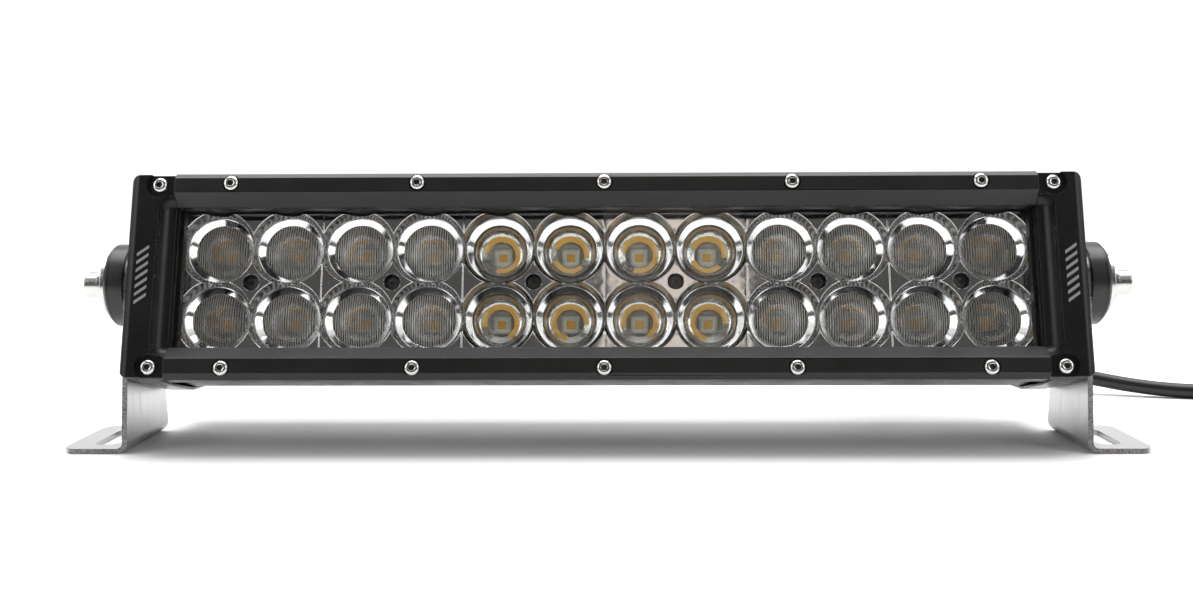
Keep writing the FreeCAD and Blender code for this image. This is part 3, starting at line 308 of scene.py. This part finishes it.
# LEDs stand one cell apart both ways, and a module of the reflectors and optics holds two by two
CELL = 26.0
RIB_PITCH, RIB_DEPTH = CELL / 30, 0.14
ALONG_HOUSING, ALONG_STRIP = (0.25, 1, 1), (0.15, 1, 1)
MATERIALS = {
    "housing_black": coated("housing_coat", (0.009, 0.009, 0.0093), 0.34, 0.44, 0.35, 0.012, ALONG_HOUSING,
                            0.35),
    "cap_black": coated("cap_coat", (0.0045, 0.0045, 0.0047), 0.24, 0.32, 0.5, 0.010, specular=0.25),
    "strip_black": coated("strip_coat", (0.0075, 0.0073, 0.007), 0.28, 0.38, 0.4, 0.012, ALONG_STRIP, 0.35),
    "window_clear": window(),
    "seal_rubber": coated("seal", (0.012, 0.012, 0.012), 0.6, 0.75, 0.5, 0.02),
    "reflector_chrome": chrome(),
    "optic_clear": seen_through("optic", (0.97, 0.98, 0.97)),
    "board_white": coated("board", (0.62, 0.62, 0.6), 0.35, 0.5, 0.4, 0.01),
    "phosphor_yellow": phosphor(),
    "thermal_grey": coated("thermal", (0.25, 0.26, 0.28), 0.6, 0.8, 0.5, 0.02),
    "stainless_screw": steel("screw_steel", (0.58, 0.575, 0.56), 0.14, 0.24, depth=0.008),
    "stainless_sheet": sheet_steel(),
    "isolator_black": rubber_with_rim_shade(),
    "driver_green": coated("driver", (0.02, 0.12, 0.04), 0.4, 0.5, 0.4, 0.01),
    "component_dark": coated("component", (0.02, 0.02, 0.022), 0.4, 0.5, 0.4, 0.01),
    "lead_red": coated("lead", (0.45, 0.02, 0.015), 0.4, 0.5, 0.4, 0.01),
    "nylon_black": coated("nylon", (0.014, 0.014, 0.014), 0.42, 0.55, 0.4, 0.015),
    "cable_black": coated("cable_jacket", (0.008, 0.008, 0.008), 0.3, 0.42, 0.7, 0.015, specular=0.4),
    "tie_black": coated("tie", (0.012, 0.012, 0.012), 0.4, 0.5, 0.4, 0.012),
    "connector_grey": coated("connector", (0.07, 0.07, 0.072), 0.42, 0.55, 0.45, 0.015),
    "terminal_brass": steel("terminal", (0.72, 0.55, 0.3), 0.25, 0.4),
}
FLUTED = seen_through("fluted_optic", (0.97, 0.975, 0.97), RIB_PITCH)
INSIDE = frosted()
# Steel darkened as painted shade, for the deep part of the hex sockets and the screws down in the reflectors'
# holes
SOCKET_SHADE = steel("socket_shade_steel", (0.10, 0.098, 0.095), 0.35, 0.5)
HOLE = coated("hole_wall", (0.012, 0.012, 0.012), 0.3, 0.45, 0.5, 0.01)
PACKAGE = coated("led_package", (0.78, 0.77, 0.72), 0.35, 0.5, 0.3, 0.01)
ETCH = coated("etched_mark", (0.15, 0.147, 0.143), 0.4, 0.5, 0.4, 0.01)


# ---------------------------------------------------------------- softened CAD nodes
JOIN = 2e-6
FLAT_DEG, BEVEL_DEG, SMOOTH_DEG = 0.3, 32, 42
NORMAL_WEIGHT = 80


def node_group(name):
    group = bpy.data.node_groups.new(name, "GeometryNodeTree")
    group.interface.new_socket("Geometry", in_out="INPUT", socket_type="NodeSocketGeometry")
    group.interface.new_socket("Geometry", in_out="OUTPUT", socket_type="NodeSocketGeometry")
    first = group.nodes.new("NodeGroupInput").outputs[0]
    return group, first, group.nodes.new("NodeGroupOutput").inputs[0]


def welding():
    """Drops the imported normals and joins the faces that the export split."""
    group, at, end = node_group("weld")
    for name in ("custom_normal", "sharp_edge", "sharp_face"):
        remove = wired(group, "GeometryNodeRemoveAttribute", {"Name": name, "Geometry": at})
        at = remove.outputs["Geometry"]
    merge = wired(group, "GeometryNodeMergeByDistance", {"Distance": JOIN, "Geometry": at})
    group.links.new(merge.outputs["Geometry"], end)
    return group


def smoothing(angle_deg):
    """Shades smooth, apart from edges sharper than the angle."""
    group, at, end = node_group("smooth")
    angle = group.nodes.new("GeometryNodeInputMeshEdgeAngle").outputs["Unsigned Angle"]
    sharp = wired(group, "FunctionNodeCompare", {0: angle, 1: math.radians(angle_deg)},
                  data_type="FLOAT", operation="GREATER_THAN")
    faces = wired(group, "GeometryNodeSetShadeSmooth", {"Geometry": at}, domain="FACE")
    chosen = {"Geometry": faces.outputs["Geometry"], "Selection": sharp.outputs["Result"]}
    edges = wired(group, "GeometryNodeSetShadeSmooth", {**chosen, "Shade Smooth": False}, domain="EDGE")
    group.links.new(edges.outputs["Geometry"], end)
    return group


WELD, SMOOTH = welding(), smoothing(SMOOTH_DEG)


def smooth(obj):
    obj.modifiers.new("smooth", "NODES").node_group = SMOOTH


def soften(obj, width_mm, segments=2, imported=True):
    """Small rounded edges, which catch the light as real ones do."""
    if imported:
        obj.modifiers.new("weld", "NODES").node_group = WELD
        flat = obj.modifiers.new("flat", "DECIMATE")
        flat.decimate_type, flat.angle_limit = "DISSOLVE", math.radians(FLAT_DEG)
    bevel = obj.modifiers.new("edges", "BEVEL")
    bevel.width, bevel.segments = width_mm * MM, segments
    bevel.limit_method, bevel.angle_limit = "ANGLE", math.radians(BEVEL_DEG)
    bevel.use_clamp_overlap = False
    bevel.miter_outer = "MITER_ARC"
    smooth(obj)
    weighted = obj.modifiers.new("normals", "WEIGHTED_NORMAL")
    weighted.keep_sharp, weighted.weight = True, NORMAL_WEIGHT


EDGE_MM = {
    "heatsink_housing": 0.25,
    "left_end_cap": 0.3,
    "right_end_cap": 0.3,
    "top_lens_strip": 0.25,
    "bottom_lens_strip": 0.25,
    "left_bracket": 0.18,
    "right_bracket": 0.18,
    "left_isolator": 0.25,
    "right_isolator": 0.25,
    "cable_gland": 0.25,
    "gland_nut": 0.3,
    "breather_vent": 0.2,
    "connector_body": 0.3,
    "connector_collar": 0.2,
    "coil_tie": 0.12,
}
SMALL_EDGE_MM = 0.12
AS_IMPORTED = {"front_lens", "lens_gasket", "led_board", "thermal_pad", "left_end_gasket", "right_end_gasket",
               "driver_board", "gland_seal"}

for name, node in NODES.items():
    slot = node.material_slots[0].material.name
    # The screws down in the reflectors' holes get the steel darkened as painted shade
    node.material_slots[0].material = SOCKET_SHADE if name == "reflector_screws" else MATERIALS[slot]
    if name not in AS_IMPORTED:
        soften(node, EDGE_MM.get(name, SMALL_EDGE_MM))


# ---------------------------------------------------------------- new pieces
def to_row(points):
    """From mm in the lamp's own frame, as x, y behind the tilt axis and v above it, to the row's metres."""
    places = np.asarray(points, float) * MM
    x, y, v = places.T
    level, rise = math.cos(REST_TILT), math.sin(REST_TILT)
    return np.stack([x, HINGE.y + y * level + v * rise, HINGE.z - y * rise + v * level], axis=1)


class Shape:
    """Points and faces gathered from rings."""

    def __init__(self):
        self.points, self.faces, self.indices = [], [], []

    def ring(self, points):
        start = len(self.points)
        self.points.extend(points)
        return list(range(start, start + len(points)))

    def face(self, corners, index=0):
        self.faces.append(tuple(corners))
        self.indices.append(index)

    def bridge(self, first, second, index=0):
        count = len(first)
        for i in range(count):
            j = (i + 1) % count
            self.face((first[i], first[j], second[j], second[i]), index)


def new_piece(name, shape, materials):
    """A mesh of the shape that rides on the lamp."""
    mesh = bpy.data.meshes.new(name)
    mesh.from_pydata(to_row(shape.points).tolist(), [], shape.faces)
    for material in materials:
        mesh.materials.append(material)
    mesh.polygons.foreach_set("material_index", shape.indices)
    work = bmesh.new()
    work.from_mesh(mesh)
    bmesh.ops.remove_doubles(work, verts=work.verts, dist=JOIN)
    bmesh.ops.recalc_face_normals(work, faces=work.faces)
    work.to_mesh(mesh)
    work.free()
    obj = bpy.data.objects.new(name, mesh)
    bpy.context.scene.collection.objects.link(obj)
    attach(obj, "lamp")
    return obj


# The reflectors, in mm in the lamp's own frame
MODULE = 2 * CELL
MODULES = 6
MODULE_GAP = 0.14
MODULE_EDGE = MODULE / 2 - MODULE_GAP / 2
FACE_Y = -5.1
WALL_END_Y = 11.25
CUP_MOUTH, CUP_FOOT, CUP_DEPTH = 13.9, 9.9, 7.2
CUP_TURN, CUP_SLOPE = 12.1, 0.8
CUP_RINGS = 18
SCREW_HOLE = 3.0
RIM_EDGE_MM = 0.22
ON_EDGE, RIM_SLACK = 1e-6, 1e-3


def module_centre(number):
    return (number - (MODULES + 1) / 2) * MODULE


def cup_depth(r):
    """Depth of a cup's wall: a wide cone round the optic that turns up steeply to the rim."""
    cone = min(r, CUP_TURN) - CUP_FOOT
    low = CUP_DEPTH - cone * CUP_SLOPE
    if r <= CUP_TURN:
        return low
    width = CUP_MOUTH - CUP_TURN
    share = (r - CUP_TURN) / width
    return low - CUP_SLOPE * width * share - (low - CUP_SLOPE * width) * share * share


def cup_angles():
    """Angles round a cup, with one at every corner of its outline."""
    half = CELL / 2
    flat = math.degrees(math.acos(half / CUP_MOUTH))
    hole = math.degrees(math.atan2(half - SCREW_HOLE, half))
    marks = [(0.0, 6), (flat, 6), (hole, 4), (45.0, 4), (90 - hole, 6), (90 - flat, 6), (90.0, 0)]
    quarter = []
    for (start, count), (end, _) in zip(marks, marks[1:]):
        quarter += [start + (end - start) * i / count for i in range(count)]
    return [math.radians(angle + 90 * k) for k in range(4) for angle in quarter]


def square_edge(angle):
    """Distance from a cell's centre to its side along the angle."""
    return CELL / 2 / max(abs(math.cos(angle)), abs(math.sin(angle)))


def hole_edge(angle, corner):
    """Distance from the cell's centre to the module's screw hole along the angle, or None."""
    away = Vector((math.cos(angle), math.sin(angle)))
    along = away.dot(corner)
    miss = corner.length_squared - along * along
    if along <= 0 or miss > SCREW_HOLE**2:
        return None
    return along - math.sqrt(SCREW_HOLE**2 - miss)


def cup_point(middle, centre, angle, r, sunk=True):
    """The place at r from a cup's centre, kept inside its module, on the cup's wall or else on the face."""
    x = max(-MODULE_EDGE, min(MODULE_EDGE, centre.x + r * math.cos(angle)))
    v = max(-MODULE_EDGE, min(MODULE_EDGE, centre.y + r * math.sin(angle)))
    depth = cup_depth(math.hypot(x - centre.x, v - centre.y)) if sunk else 0.0
    return (middle + x, FACE_Y + max(0.0, depth), v)


def on_outer_side(first, second, middle):
    """Whether both places lie on one of the module's outer sides."""
    for axis, origin in ((0, middle), (2, 0.0)):
        here, there = first[axis] - origin, second[axis] - origin
        if here * there > 0 and all(abs(abs(reach) - MODULE_EDGE) < ON_EDGE for reach in (here, there)):
            return True
    return False


def wall_behind(shape, first, second, index):
    """A wall from two points of the face straight back to the board."""
    ends = [(shape.points[corner][0], WALL_END_Y, shape.points[corner][2]) for corner in (first, second)]
    deep = shape.ring(ends)
    shape.face((first, second, deep[1], deep[0]), index)


def cup(shape, middle, centre, angles):
    """One cup, with the web round it and its share of the outer skirt and of the screw hole."""
    foot = [(middle + centre.x + CUP_FOOT * math.cos(angle), WALL_END_Y,
             centre.y + CUP_FOOT * math.sin(angle)) for angle in angles]
    last = shape.ring(foot)
    for k in range(CUP_RINGS + 1):
        share = k / CUP_RINGS
        reach = [CUP_FOOT + (min(CUP_MOUTH, square_edge(angle)) - CUP_FOOT) * share for angle in angles]
        ring = shape.ring([cup_point(middle, centre, angle, r) for angle, r in zip(angles, reach)])
        shape.bridge(last, ring)
        last = ring
    outer, at_hole = [], []
    for angle in angles:
        side, hole = square_edge(angle), hole_edge(angle, -centre)
        r = side if hole is None else min(side, hole)
        outer.append(cup_point(middle, centre, angle, max(r, min(CUP_MOUTH, side)), r <= CUP_MOUTH))
        at_hole.append(hole is not None and hole < side + ON_EDGE)
    ring = shape.ring(outer)
    for i, angle in enumerate(angles):
        j = (i + 1) % len(angles)
        nearer = min(square_edge(angle), square_edge(angles[j]))
        if nearer > CUP_MOUTH - RIM_SLACK or square_edge((angle + angles[j]) / 2) > CUP_MOUTH:
            shape.face((last[i], last[j], ring[j], ring[i]))
        if at_hole[i] and at_hole[j]:
            wall_behind(shape, ring[i], ring[j], 1)
        if on_outer_side(outer[i], outer[j], middle):
            wall_behind(shape, ring[i], ring[j], 0)


def reflector(number):
    """One bright moulding: four cups whose rims meet, the webs between them, the screw hole and the skirt."""
    shape = Shape()
    for x in (-1, 1):
        for v in (-1, 1):
            cup(shape, module_centre(number), Vector((x * CELL / 2, v * CELL / 2)), cup_angles())
    materials = [MATERIALS["reflector_chrome"], HOLE]
    obj = new_piece(f"mirror_module_{number}", shape, materials)
    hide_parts(f"reflector_{number}")
    soften(obj, RIM_EDGE_MM, 3, imported=False)


# The optics: a domed lens on a flange, and the bowl behind it down to a ring round the LED
SPOTS = (3, 4)
FLANGE_Y, BACK_Y = 2.1, 3.0
OPTIC_R, DOME_R, EYE_R = 9.75, 9.25, 3.6
FRONT_BREAK, BACK_BREAK = 0.12, 0.1
RIB_FADE = 0.4
BOWL_R, BOWL_Y, BOWL_DEPTH, BOWL_CURVE = 9.4, 3.15, 4.6, 0.9
BOWL_STEPS, BOWL_SIDES = 14, 72
# The bowl's end as (distance inside the painted ring, distance behind the bowl's wall)
BOWL_LIP = ((0.0, 0.6), (0.1, 0.35), (0.35, 0.35), (0.5, 1.4))
# image_ring is the outer and inner radius of the ring where the phosphor's yellow is painted on the bowl, a
# painted reflection of the LED, and arcs are the degrees round each of a module's four LEDs over which it is
KINDS = {
    "spot": {
        "lens": MATERIALS["optic_clear"],
        "dome": 2.6,
        "steps": 14,
        "sides": 72,
        "image_ring": (5.8, 4.0),
        "arcs": {(-1, 1): [(-112, 165)], (1, 1): [(-12, 152), (198, 312)], (-1, -1): [(-64, 192)],
                 (1, -1): [(-8, 256)]},
    },
    "flood": {
        "lens": FLUTED,
        "dome": 1.6,
        "steps": 40,
        "sides": 224,
        "image_ring": (5.4, 4.6),
        "arcs": {(-1, 1): [(70, 200)], (1, 1): [(10, 150)], (-1, -1): [(80, 190)], (1, -1): [(20, 130)]},
    },
}


def turned(shape, centre, profile, sides, index=0):
    """A solid of revolution about y through centre. profile is (r, y); index may depend on (ring, angle)."""
    rings = []
    for r, y in profile:
        turns = [2 * math.pi * i / sides for i in range(sides if r else 1)]
        circle = [(centre[0] + r * math.cos(turn), y, centre[1] + r * math.sin(turn)) for turn in turns]
        rings.append(shape.ring(circle))
    for k, (ring, after) in enumerate(zip(rings, rings[1:])):
        for i in range(sides):
            j = (i + 1) % sides
            loop = [ring[i % len(ring)], ring[j % len(ring)], after[j % len(after)], after[i % len(after)]]
            shape.face(dict.fromkeys(loop), index(k, 360 * i / sides) if callable(index) else index)


def lens_profile(dome, steps):
    """A shallow dome over a flange, flat behind."""
    front = [(DOME_R * k / steps, FLANGE_Y - dome * (1 - (k / steps) ** 2)) for k in range(steps + 1)]
    rim = [
        (OPTIC_R - FRONT_BREAK, FLANGE_Y),
        (OPTIC_R, FLANGE_Y + FRONT_BREAK),
        (OPTIC_R, BACK_Y - BACK_BREAK),
        (OPTIC_R - BACK_BREAK, BACK_Y),
    ]
    return front + rim + [(EYE_R, BACK_Y), (0, BACK_Y)]


def bowl_profile(image_out, image_in):
    """The collimator behind the lens, from its mouth down to the ring round the LED."""
    wall = [(BOWL_R, BOWL_Y)]
    for k in range(1, BOWL_STEPS + 1):
        share = k / BOWL_STEPS
        sink = math.sin(share * math.pi / 2) ** BOWL_CURVE
        wall.append((BOWL_R + (image_out - BOWL_R) * share, BOWL_Y + BOWL_DEPTH * sink))
    return wall + [(image_in - inside, wall[-1][1] + behind) for inside, behind in BOWL_LIP]


def flute(shape, first, centre):
    """Raises upright flutes on the domes among the points from first on."""
    for i in range(first, len(shape.points)):
        x, y, v = shape.points[i]
        out = math.hypot(x - centre[0], v - centre[1])
        if y < FLANGE_Y and out < DOME_R:
            share = min(1.0, (DOME_R - out) / RIB_FADE)
            wave = 0.5 + 0.5 * math.cos(2 * math.pi * (x - centre[0]) / RIB_PITCH)
            shape.points[i] = (x, y - RIB_DEPTH * share * wave, v)


def optics(number):
    """A module's four lenses with the bowls behind them, and a painted reflection of the phosphor in the
    bowls.
    """
    shape = Shape()
    name = "spot" if number in SPOTS else "flood"
    kind = KINDS[name]
    for place in ((-1, -1), (-1, 1), (1, -1), (1, 1)):
        centre = (module_centre(number) + place[0] * CELL / 2, place[1] * CELL / 2)
        first = len(shape.points)
        turned(shape, centre, lens_profile(kind["dome"], kind["steps"]), kind["sides"])
        if name == "flood":
            flute(shape, first, centre)

        # Painted reflection: the bowl's deepest band takes the phosphor over the listed arcs
        def painted_image(ring, angle):
            turns = (angle, angle - 360)
            in_image = any(low <= turn <= high for low, high in kind["arcs"][place] for turn in turns)
            return 2 if ring == BOWL_STEPS and in_image else 1

        turned(shape, centre, bowl_profile(*kind["image_ring"]), BOWL_SIDES, painted_image)
    materials = [kind["lens"], INSIDE, MATERIALS["phosphor_yellow"]]
    obj = new_piece(f"{name}_lens_{number}", shape, materials)
    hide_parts(f"{name}_optics_{number}")
    smooth(obj)


# An LED's package from the board up, as (half width, y, corner radius)
PACKAGE_LEVELS = [(2.5, 11.28, 0.3), (2.5, 10.7, 0.3), (2.3, 10.5, 0.3)]
# The well in it and the phosphor's plate in that, as (what is added to the plate's half width, y, radius)
WELL_LEVELS = [(0.1, 10.5, 0.25), (0.0, 10.56, 0.25)]
PLATE_LEVELS = [(0.0, 10.56, 0.25), (-0.1, 10.44, 0.25), (-0.25, 10.38, 0.2)]
SPOT_PLATE, FLOOD_PLATE = 1.15, 1.6


def rounded_square(shape, x, v, half, y, corner):
    points = []
    for k, (right, up) in enumerate(((1, 1), (-1, 1), (-1, -1), (1, -1))):
        for t in range(4):
            angle = math.radians(90 * k + 30 * t)
            points.append((x + right * (half - corner) + corner * math.cos(angle), y,
                           v + up * (half - corner) + corner * math.sin(angle)))
    return shape.ring(points)


def led_package(shape, x, v, plate):
    """A white package with a square yellow plate of phosphor."""
    levels = PACKAGE_LEVELS + [(plate + more, y, corner) for more, y, corner in WELL_LEVELS]
    body = [rounded_square(shape, x, v, *level) for level in levels]
    for low, high in zip(body, body[1:]):
        shape.bridge(low, high)
    shape.face(body[0])
    top = [rounded_square(shape, x, v, plate + more, y, corner) for more, y, corner in PLATE_LEVELS]
    for low, high in zip(top, top[1:]):
        shape.bridge(low, high, 1)
    shape.face(top[-1], 1)


def led_packages():
    """All twenty-four packages, as one piece."""
    shape = Shape()
    for number in range(1, MODULES + 1):
        for x in (-1, 1):
            for v in (-1, 1):
                plate = SPOT_PLATE if number in SPOTS else FLOOD_PLATE
                led_package(shape, module_centre(number) + x * CELL / 2, v * CELL / 2, plate)
    obj = new_piece("led_packages", shape, [PACKAGE, MATERIALS["phosphor_yellow"]])
    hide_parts("led_emitters")
    smooth(obj)


# Screw heads: places are (x, v), and a seat is the y that the heads stand on
HEAD_R, HEAD_H, HEAD_SIDES = 2.75, 1.65, 36
HEAD = [(1.5, 16.0), (1.5, 0.0), (2.62, 0.0), (HEAD_R, -0.12), (HEAD_R, -0.55), (2.64, -0.95), (2.4, -1.3),
        (2.05, -1.55), (1.65, -HEAD_H), (1.4, -HEAD_H)]
# The hexagon socket: half its width, and (y from the top of the head, growth, material) of its two rings
SOCKET_HALF = 1.05
# Material 1, for the deeper ring and the socket's floor, is the steel darkened as painted shade
SOCKET_RINGS = ((0.12, 1.0, 0), (1.2, 0.97, 1))
STRIP_PITCH, STRIP_V, STRIP_SEAT = 67.4, 33.6, -18.8
CAP_X, CAP_V, CAP_SEAT = 160.75, 33.15, -18.1


def screw_heads(name, places, seat):
    """Round heads with a hexagon socket."""
    shape = Shape()
    for x, v in places:
        turned(shape, (x, v), [(r, seat + y) for r, y in HEAD], HEAD_SIDES)
        brim = list(range(len(shape.points) - HEAD_SIDES, len(shape.points)))
        for sink, grow, index in SOCKET_RINGS:
            ring = []
            for i in range(HEAD_SIDES):
                turn = 2 * math.pi * i / HEAD_SIDES
                r = grow * SOCKET_HALF / math.cos(turn % (math.pi / 3) - math.pi / 6)
                ring.append((x + r * math.cos(turn), seat - HEAD_H + sink, v + r * math.sin(turn)))
            ring = shape.ring(ring)
            shape.bridge(brim, ring, index)
            brim = ring
        shape.face(brim, 1)
    obj = new_piece(name + "_heads", shape, [MATERIALS["stainless_screw"], SOCKET_SHADE])
    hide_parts(name)
    smooth(obj)


MARK_X, CAP_FACE_Y = 165.0, -19.5
BAR_HALF_WIDE, BAR_HALF_HIGH, BAR_LEAN, BAR_PITCH = 2.1, 0.6, 1.5, 2.9
BAR_LEVELS = ((0.0, 0.0), (0.13, 0.0), (0.17, 0.06))


def cap_mark(side_name, side):
    """Seven slanted bars lightly raised on a cap's face."""
    shape = Shape()
    for k in range(-3, 4):
        rings = []
        for rise, inset in BAR_LEVELS:
            wide, high = BAR_HALF_WIDE - inset, BAR_HALF_HIGH - inset
            corners = ((-wide, -high - BAR_LEAN), (wide, -high + BAR_LEAN), (wide, high + BAR_LEAN),
                       (-wide, high - BAR_LEAN))
            y = CAP_FACE_Y - rise
            rings.append(shape.ring([(side * MARK_X + x, y, k * BAR_PITCH + v) for x, v in corners]))
        shape.bridge(rings[0], rings[1])
        shape.bridge(rings[1], rings[2])
        shape.face(rings[2])
        shape.face(rings[0])
    new_piece(side_name + "_cap_mark", shape, [ETCH])


for level, side in (("top", 1), ("bottom", -1)):
    places = [(STRIP_PITCH * k, side * STRIP_V) for k in range(-2, 3)]
    screw_heads(level + "_strip_screws", places, STRIP_SEAT)
for end, side in (("left", -1), ("right", 1)):
    screw_heads(end + "_cap_screws", [(side * CAP_X, v) for v in (-CAP_V, CAP_V)], CAP_SEAT)
    cap_mark(end, side)
for number in range(1, MODULES + 1):
    reflector(number)
    optics(number)
led_packages()


# ---------------------------------------------------------------- the cable
CABLE_R = 3.25
LEAD = [
    (110.0, 38.9, 54.4),
    (110.0, 68.0, 45.8),
    (125.5, 90.0, 36.0),
    (152.0, 99.0, 25.5),
    (182.0, 96.0, 15.5),
    (213.0, 86.5, 8.0),
    (245.0, 75.5, 3.25),
    (275.0, 69.5, 3.25),
]
TAIL = [(326.9, 8.2, 7.9), (322.6, -8.0, 7.5)]
COIL_CENTRE = (296.65, 31.2)
COIL_R = 34.0
COIL_START, COIL_TURN, COIL_POINTS = 80.1, 450.0, 19
# Degrees along the coil at which the second turn starts to climb on the first, and over which it does
CLIMB_START, CLIMB = 225, 105
# The strap's place round the coil and its reach, in degrees, and how far it lifts the turns there, in mm
TIE_ANGLE, TIE_REACH = 35.0, 40
LOWER_LIFT, UPPER_LIFT = 0.35, 0.15


def coil_points():
    """One and a quarter turns, clockwise from above, the second lying on the first."""
    step = COIL_TURN / COIL_POINTS
    wide = COIL_R / math.cos(math.radians(step / 2))
    points = []
    for k in range(COIL_POINTS + 1):
        along = k * step
        heading = COIL_START - along
        rise = min(1.0, max(0.0, (along - CLIMB_START) / CLIMB))
        height = CABLE_R + 2 * CABLE_R * rise * rise * (3 - 2 * rise)
        off_tie = abs((heading - TIE_ANGLE + 180) % 360 - 180)
        height += (LOWER_LIFT if along < CLIMB_START else UPPER_LIFT) * max(0.0, 1 - off_tie / TIE_REACH)
        r = wide if 0 < k < COIL_POINTS else COIL_R
        turn = math.radians(heading)
        points.append((COIL_CENTRE[0] + r * math.cos(turn), COIL_CENTRE[1] + r * math.sin(turn), height))
    return points


def cable_line():
    """The cable's middle line, as a curve along its route."""
    route = LEAD + coil_points() + TAIL
    curve = bpy.data.curves.new("cable_line", "CURVE")
    curve.dimensions = "3D"
    curve.resolution_u = 14
    spline = curve.splines.new("NURBS")
    spline.points.add(len(route) - 1)
    for point, place in zip(spline.points, route):
        point.co = (*(MM * part for part in place), 1)
    spline.order_u = 3
    spline.use_endpoint_u = True
    line = bpy.data.objects.new("cable_line", curve)
    bpy.context.scene.collection.objects.link(line)
    bpy.context.view_layer.update()
    return line


def cable():
    line = cable_line()
    thread = bpy.data.meshes.new_from_object(line)
    bpy.data.meshes.remove(thread)
    line.data.bevel_depth = CABLE_R * MM
    line.data.bevel_resolution = 8
    line.data.use_fill_caps = True
    bpy.context.view_layer.update()
    tube = bpy.data.meshes.new_from_object(line.evaluated_get(bpy.context.evaluated_depsgraph_get()))
    bpy.data.objects.remove(line)
    tube.materials.clear()
    tube.materials.append(MATERIALS["cable_black"])
    obj = bpy.data.objects.new("power_cable", tube)
    bpy.context.scene.collection.objects.link(obj)
    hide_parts("cable_lead", "cable_coil", "cable_tail")
    smooth(obj)
    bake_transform(obj)


cable()


# ---------------------------------------------------------------- floor and light
FLOOR_REACH = 9.0
ROOM_STRENGTH = 1.05
ROOM_WHITE, PATCH_DARK = (1, 1, 1), (0.085, 0.082, 0.080)
# The dark line along the horizon, by the upward part of a direction: its middle, how far from there it
# starts to fade, and where it has faded
LINE_HEIGHT, LINE_START, LINE_END = 0.09, 0.07, 0.085


def make_floor():
    mesh = bpy.data.meshes.new("floor")
    corners = [(x * FLOOR_REACH, y * FLOOR_REACH, 0) for x, y in ((-1, -1), (1, -1), (1, 1), (-1, 1))]
    mesh.from_pydata(corners, [], [(0, 1, 2, 3)])
    floor = bpy.data.objects.new("floor", mesh)
    bpy.context.scene.collection.objects.link(floor)
    shader = Shader("floor_paper", (0.86, 0.86, 0.86), 0.6)
    shader.roughness(shader.noise(200, 3), 0.5, 0.7)
    shader.bump((shader.noise(1.2, 3), 0.02))
    mesh.materials.append(shader.material)


def make_world():
    """A white room that shows a dark patch in front and a dark line along the horizon to reflections."""
    world = bpy.data.worlds.new("room")
    bpy.context.scene.world = world
    world.use_nodes = True
    tree = world.node_tree
    place = wired(tree, "ShaderNodeTexCoord").outputs["Generated"]
    part = wired(tree, "ShaderNodeSeparateXYZ", {0: place}).outputs
    white = ramp(tree, maths(tree, "ABSOLUTE", part["X"]), 0.50, 0.68)
    white = maths(tree, "MAXIMUM", white, ramp(tree, part["Y"], -0.25, 0.15))
    white = maths(tree, "MAXIMUM", white, ramp(tree, part["Z"], 0.72, 0.9))
    off_line = maths(tree, "ABSOLUTE", maths(tree, "SUBTRACT", part["Z"], LINE_HEIGHT))
    white = maths(tree, "MULTIPLY", white, ramp(tree, off_line, LINE_START, LINE_END))
    white = maths(tree, "MAXIMUM", white, wired(tree, "ShaderNodeLightPath").outputs["Is Camera Ray"])
    background = tree.nodes["Background"]
    tree.links.new(mixed_colour(tree, white, PATCH_DARK, ROOM_WHITE), background.inputs["Color"])
    background.inputs["Strength"].default_value = ROOM_STRENGTH


def area_light(name, place, target, size, power, colour=(1, 1, 1)):
    """A soft box that reflections show and the camera doesn't."""
    data = bpy.data.lights.new(name, "AREA")
    data.shape = "RECTANGLE"
    data.size, data.size_y = size
    data.energy = power
    data.color = colour
    light = bpy.data.objects.new(name, data)
    bpy.context.scene.collection.objects.link(light)
    light.location = place
    light.rotation_euler = (Vector(target) - Vector(place)).to_track_quat("-Z", "Y").to_euler()
    light.visible_camera = False


def make_ceiling():
    """Soft light from above and a little behind."""
    data = bpy.data.lights.new("ceiling", "SUN")
    data.energy, data.angle = 1.5, math.radians(60)
    ceiling = bpy.data.objects.new("ceiling", data)
    ceiling.rotation_euler = (math.radians(-12), 0, 0)
    bpy.context.scene.collection.objects.link(ceiling)


make_floor()
make_world()
area_light("top_box", (0, 0.15, 1.3), (0, 0, 0.05), (1.6, 1.0), 16)
area_light("front_card", (0.073, -0.95, 0.60), (0.02, -0.03, 0.06), (0.164, 0.34), 0.135, (1.0, 0.86, 0.77))
for side in (-1, 1):
    area_light(f"side_box_{side + 1}", (side * 0.85, -0.55, 0.52), (0, 0, 0.06), (0.5, 0.54), 1.54)
area_light("back_box", (0, 1.3, 0.85), (0, 0, 0.06), (1.2, 0.5), 6.5)
make_ceiling()
bpy.context.scene.view_settings.view_transform = "Standard"
bpy.context.scene.view_settings.look = "None"
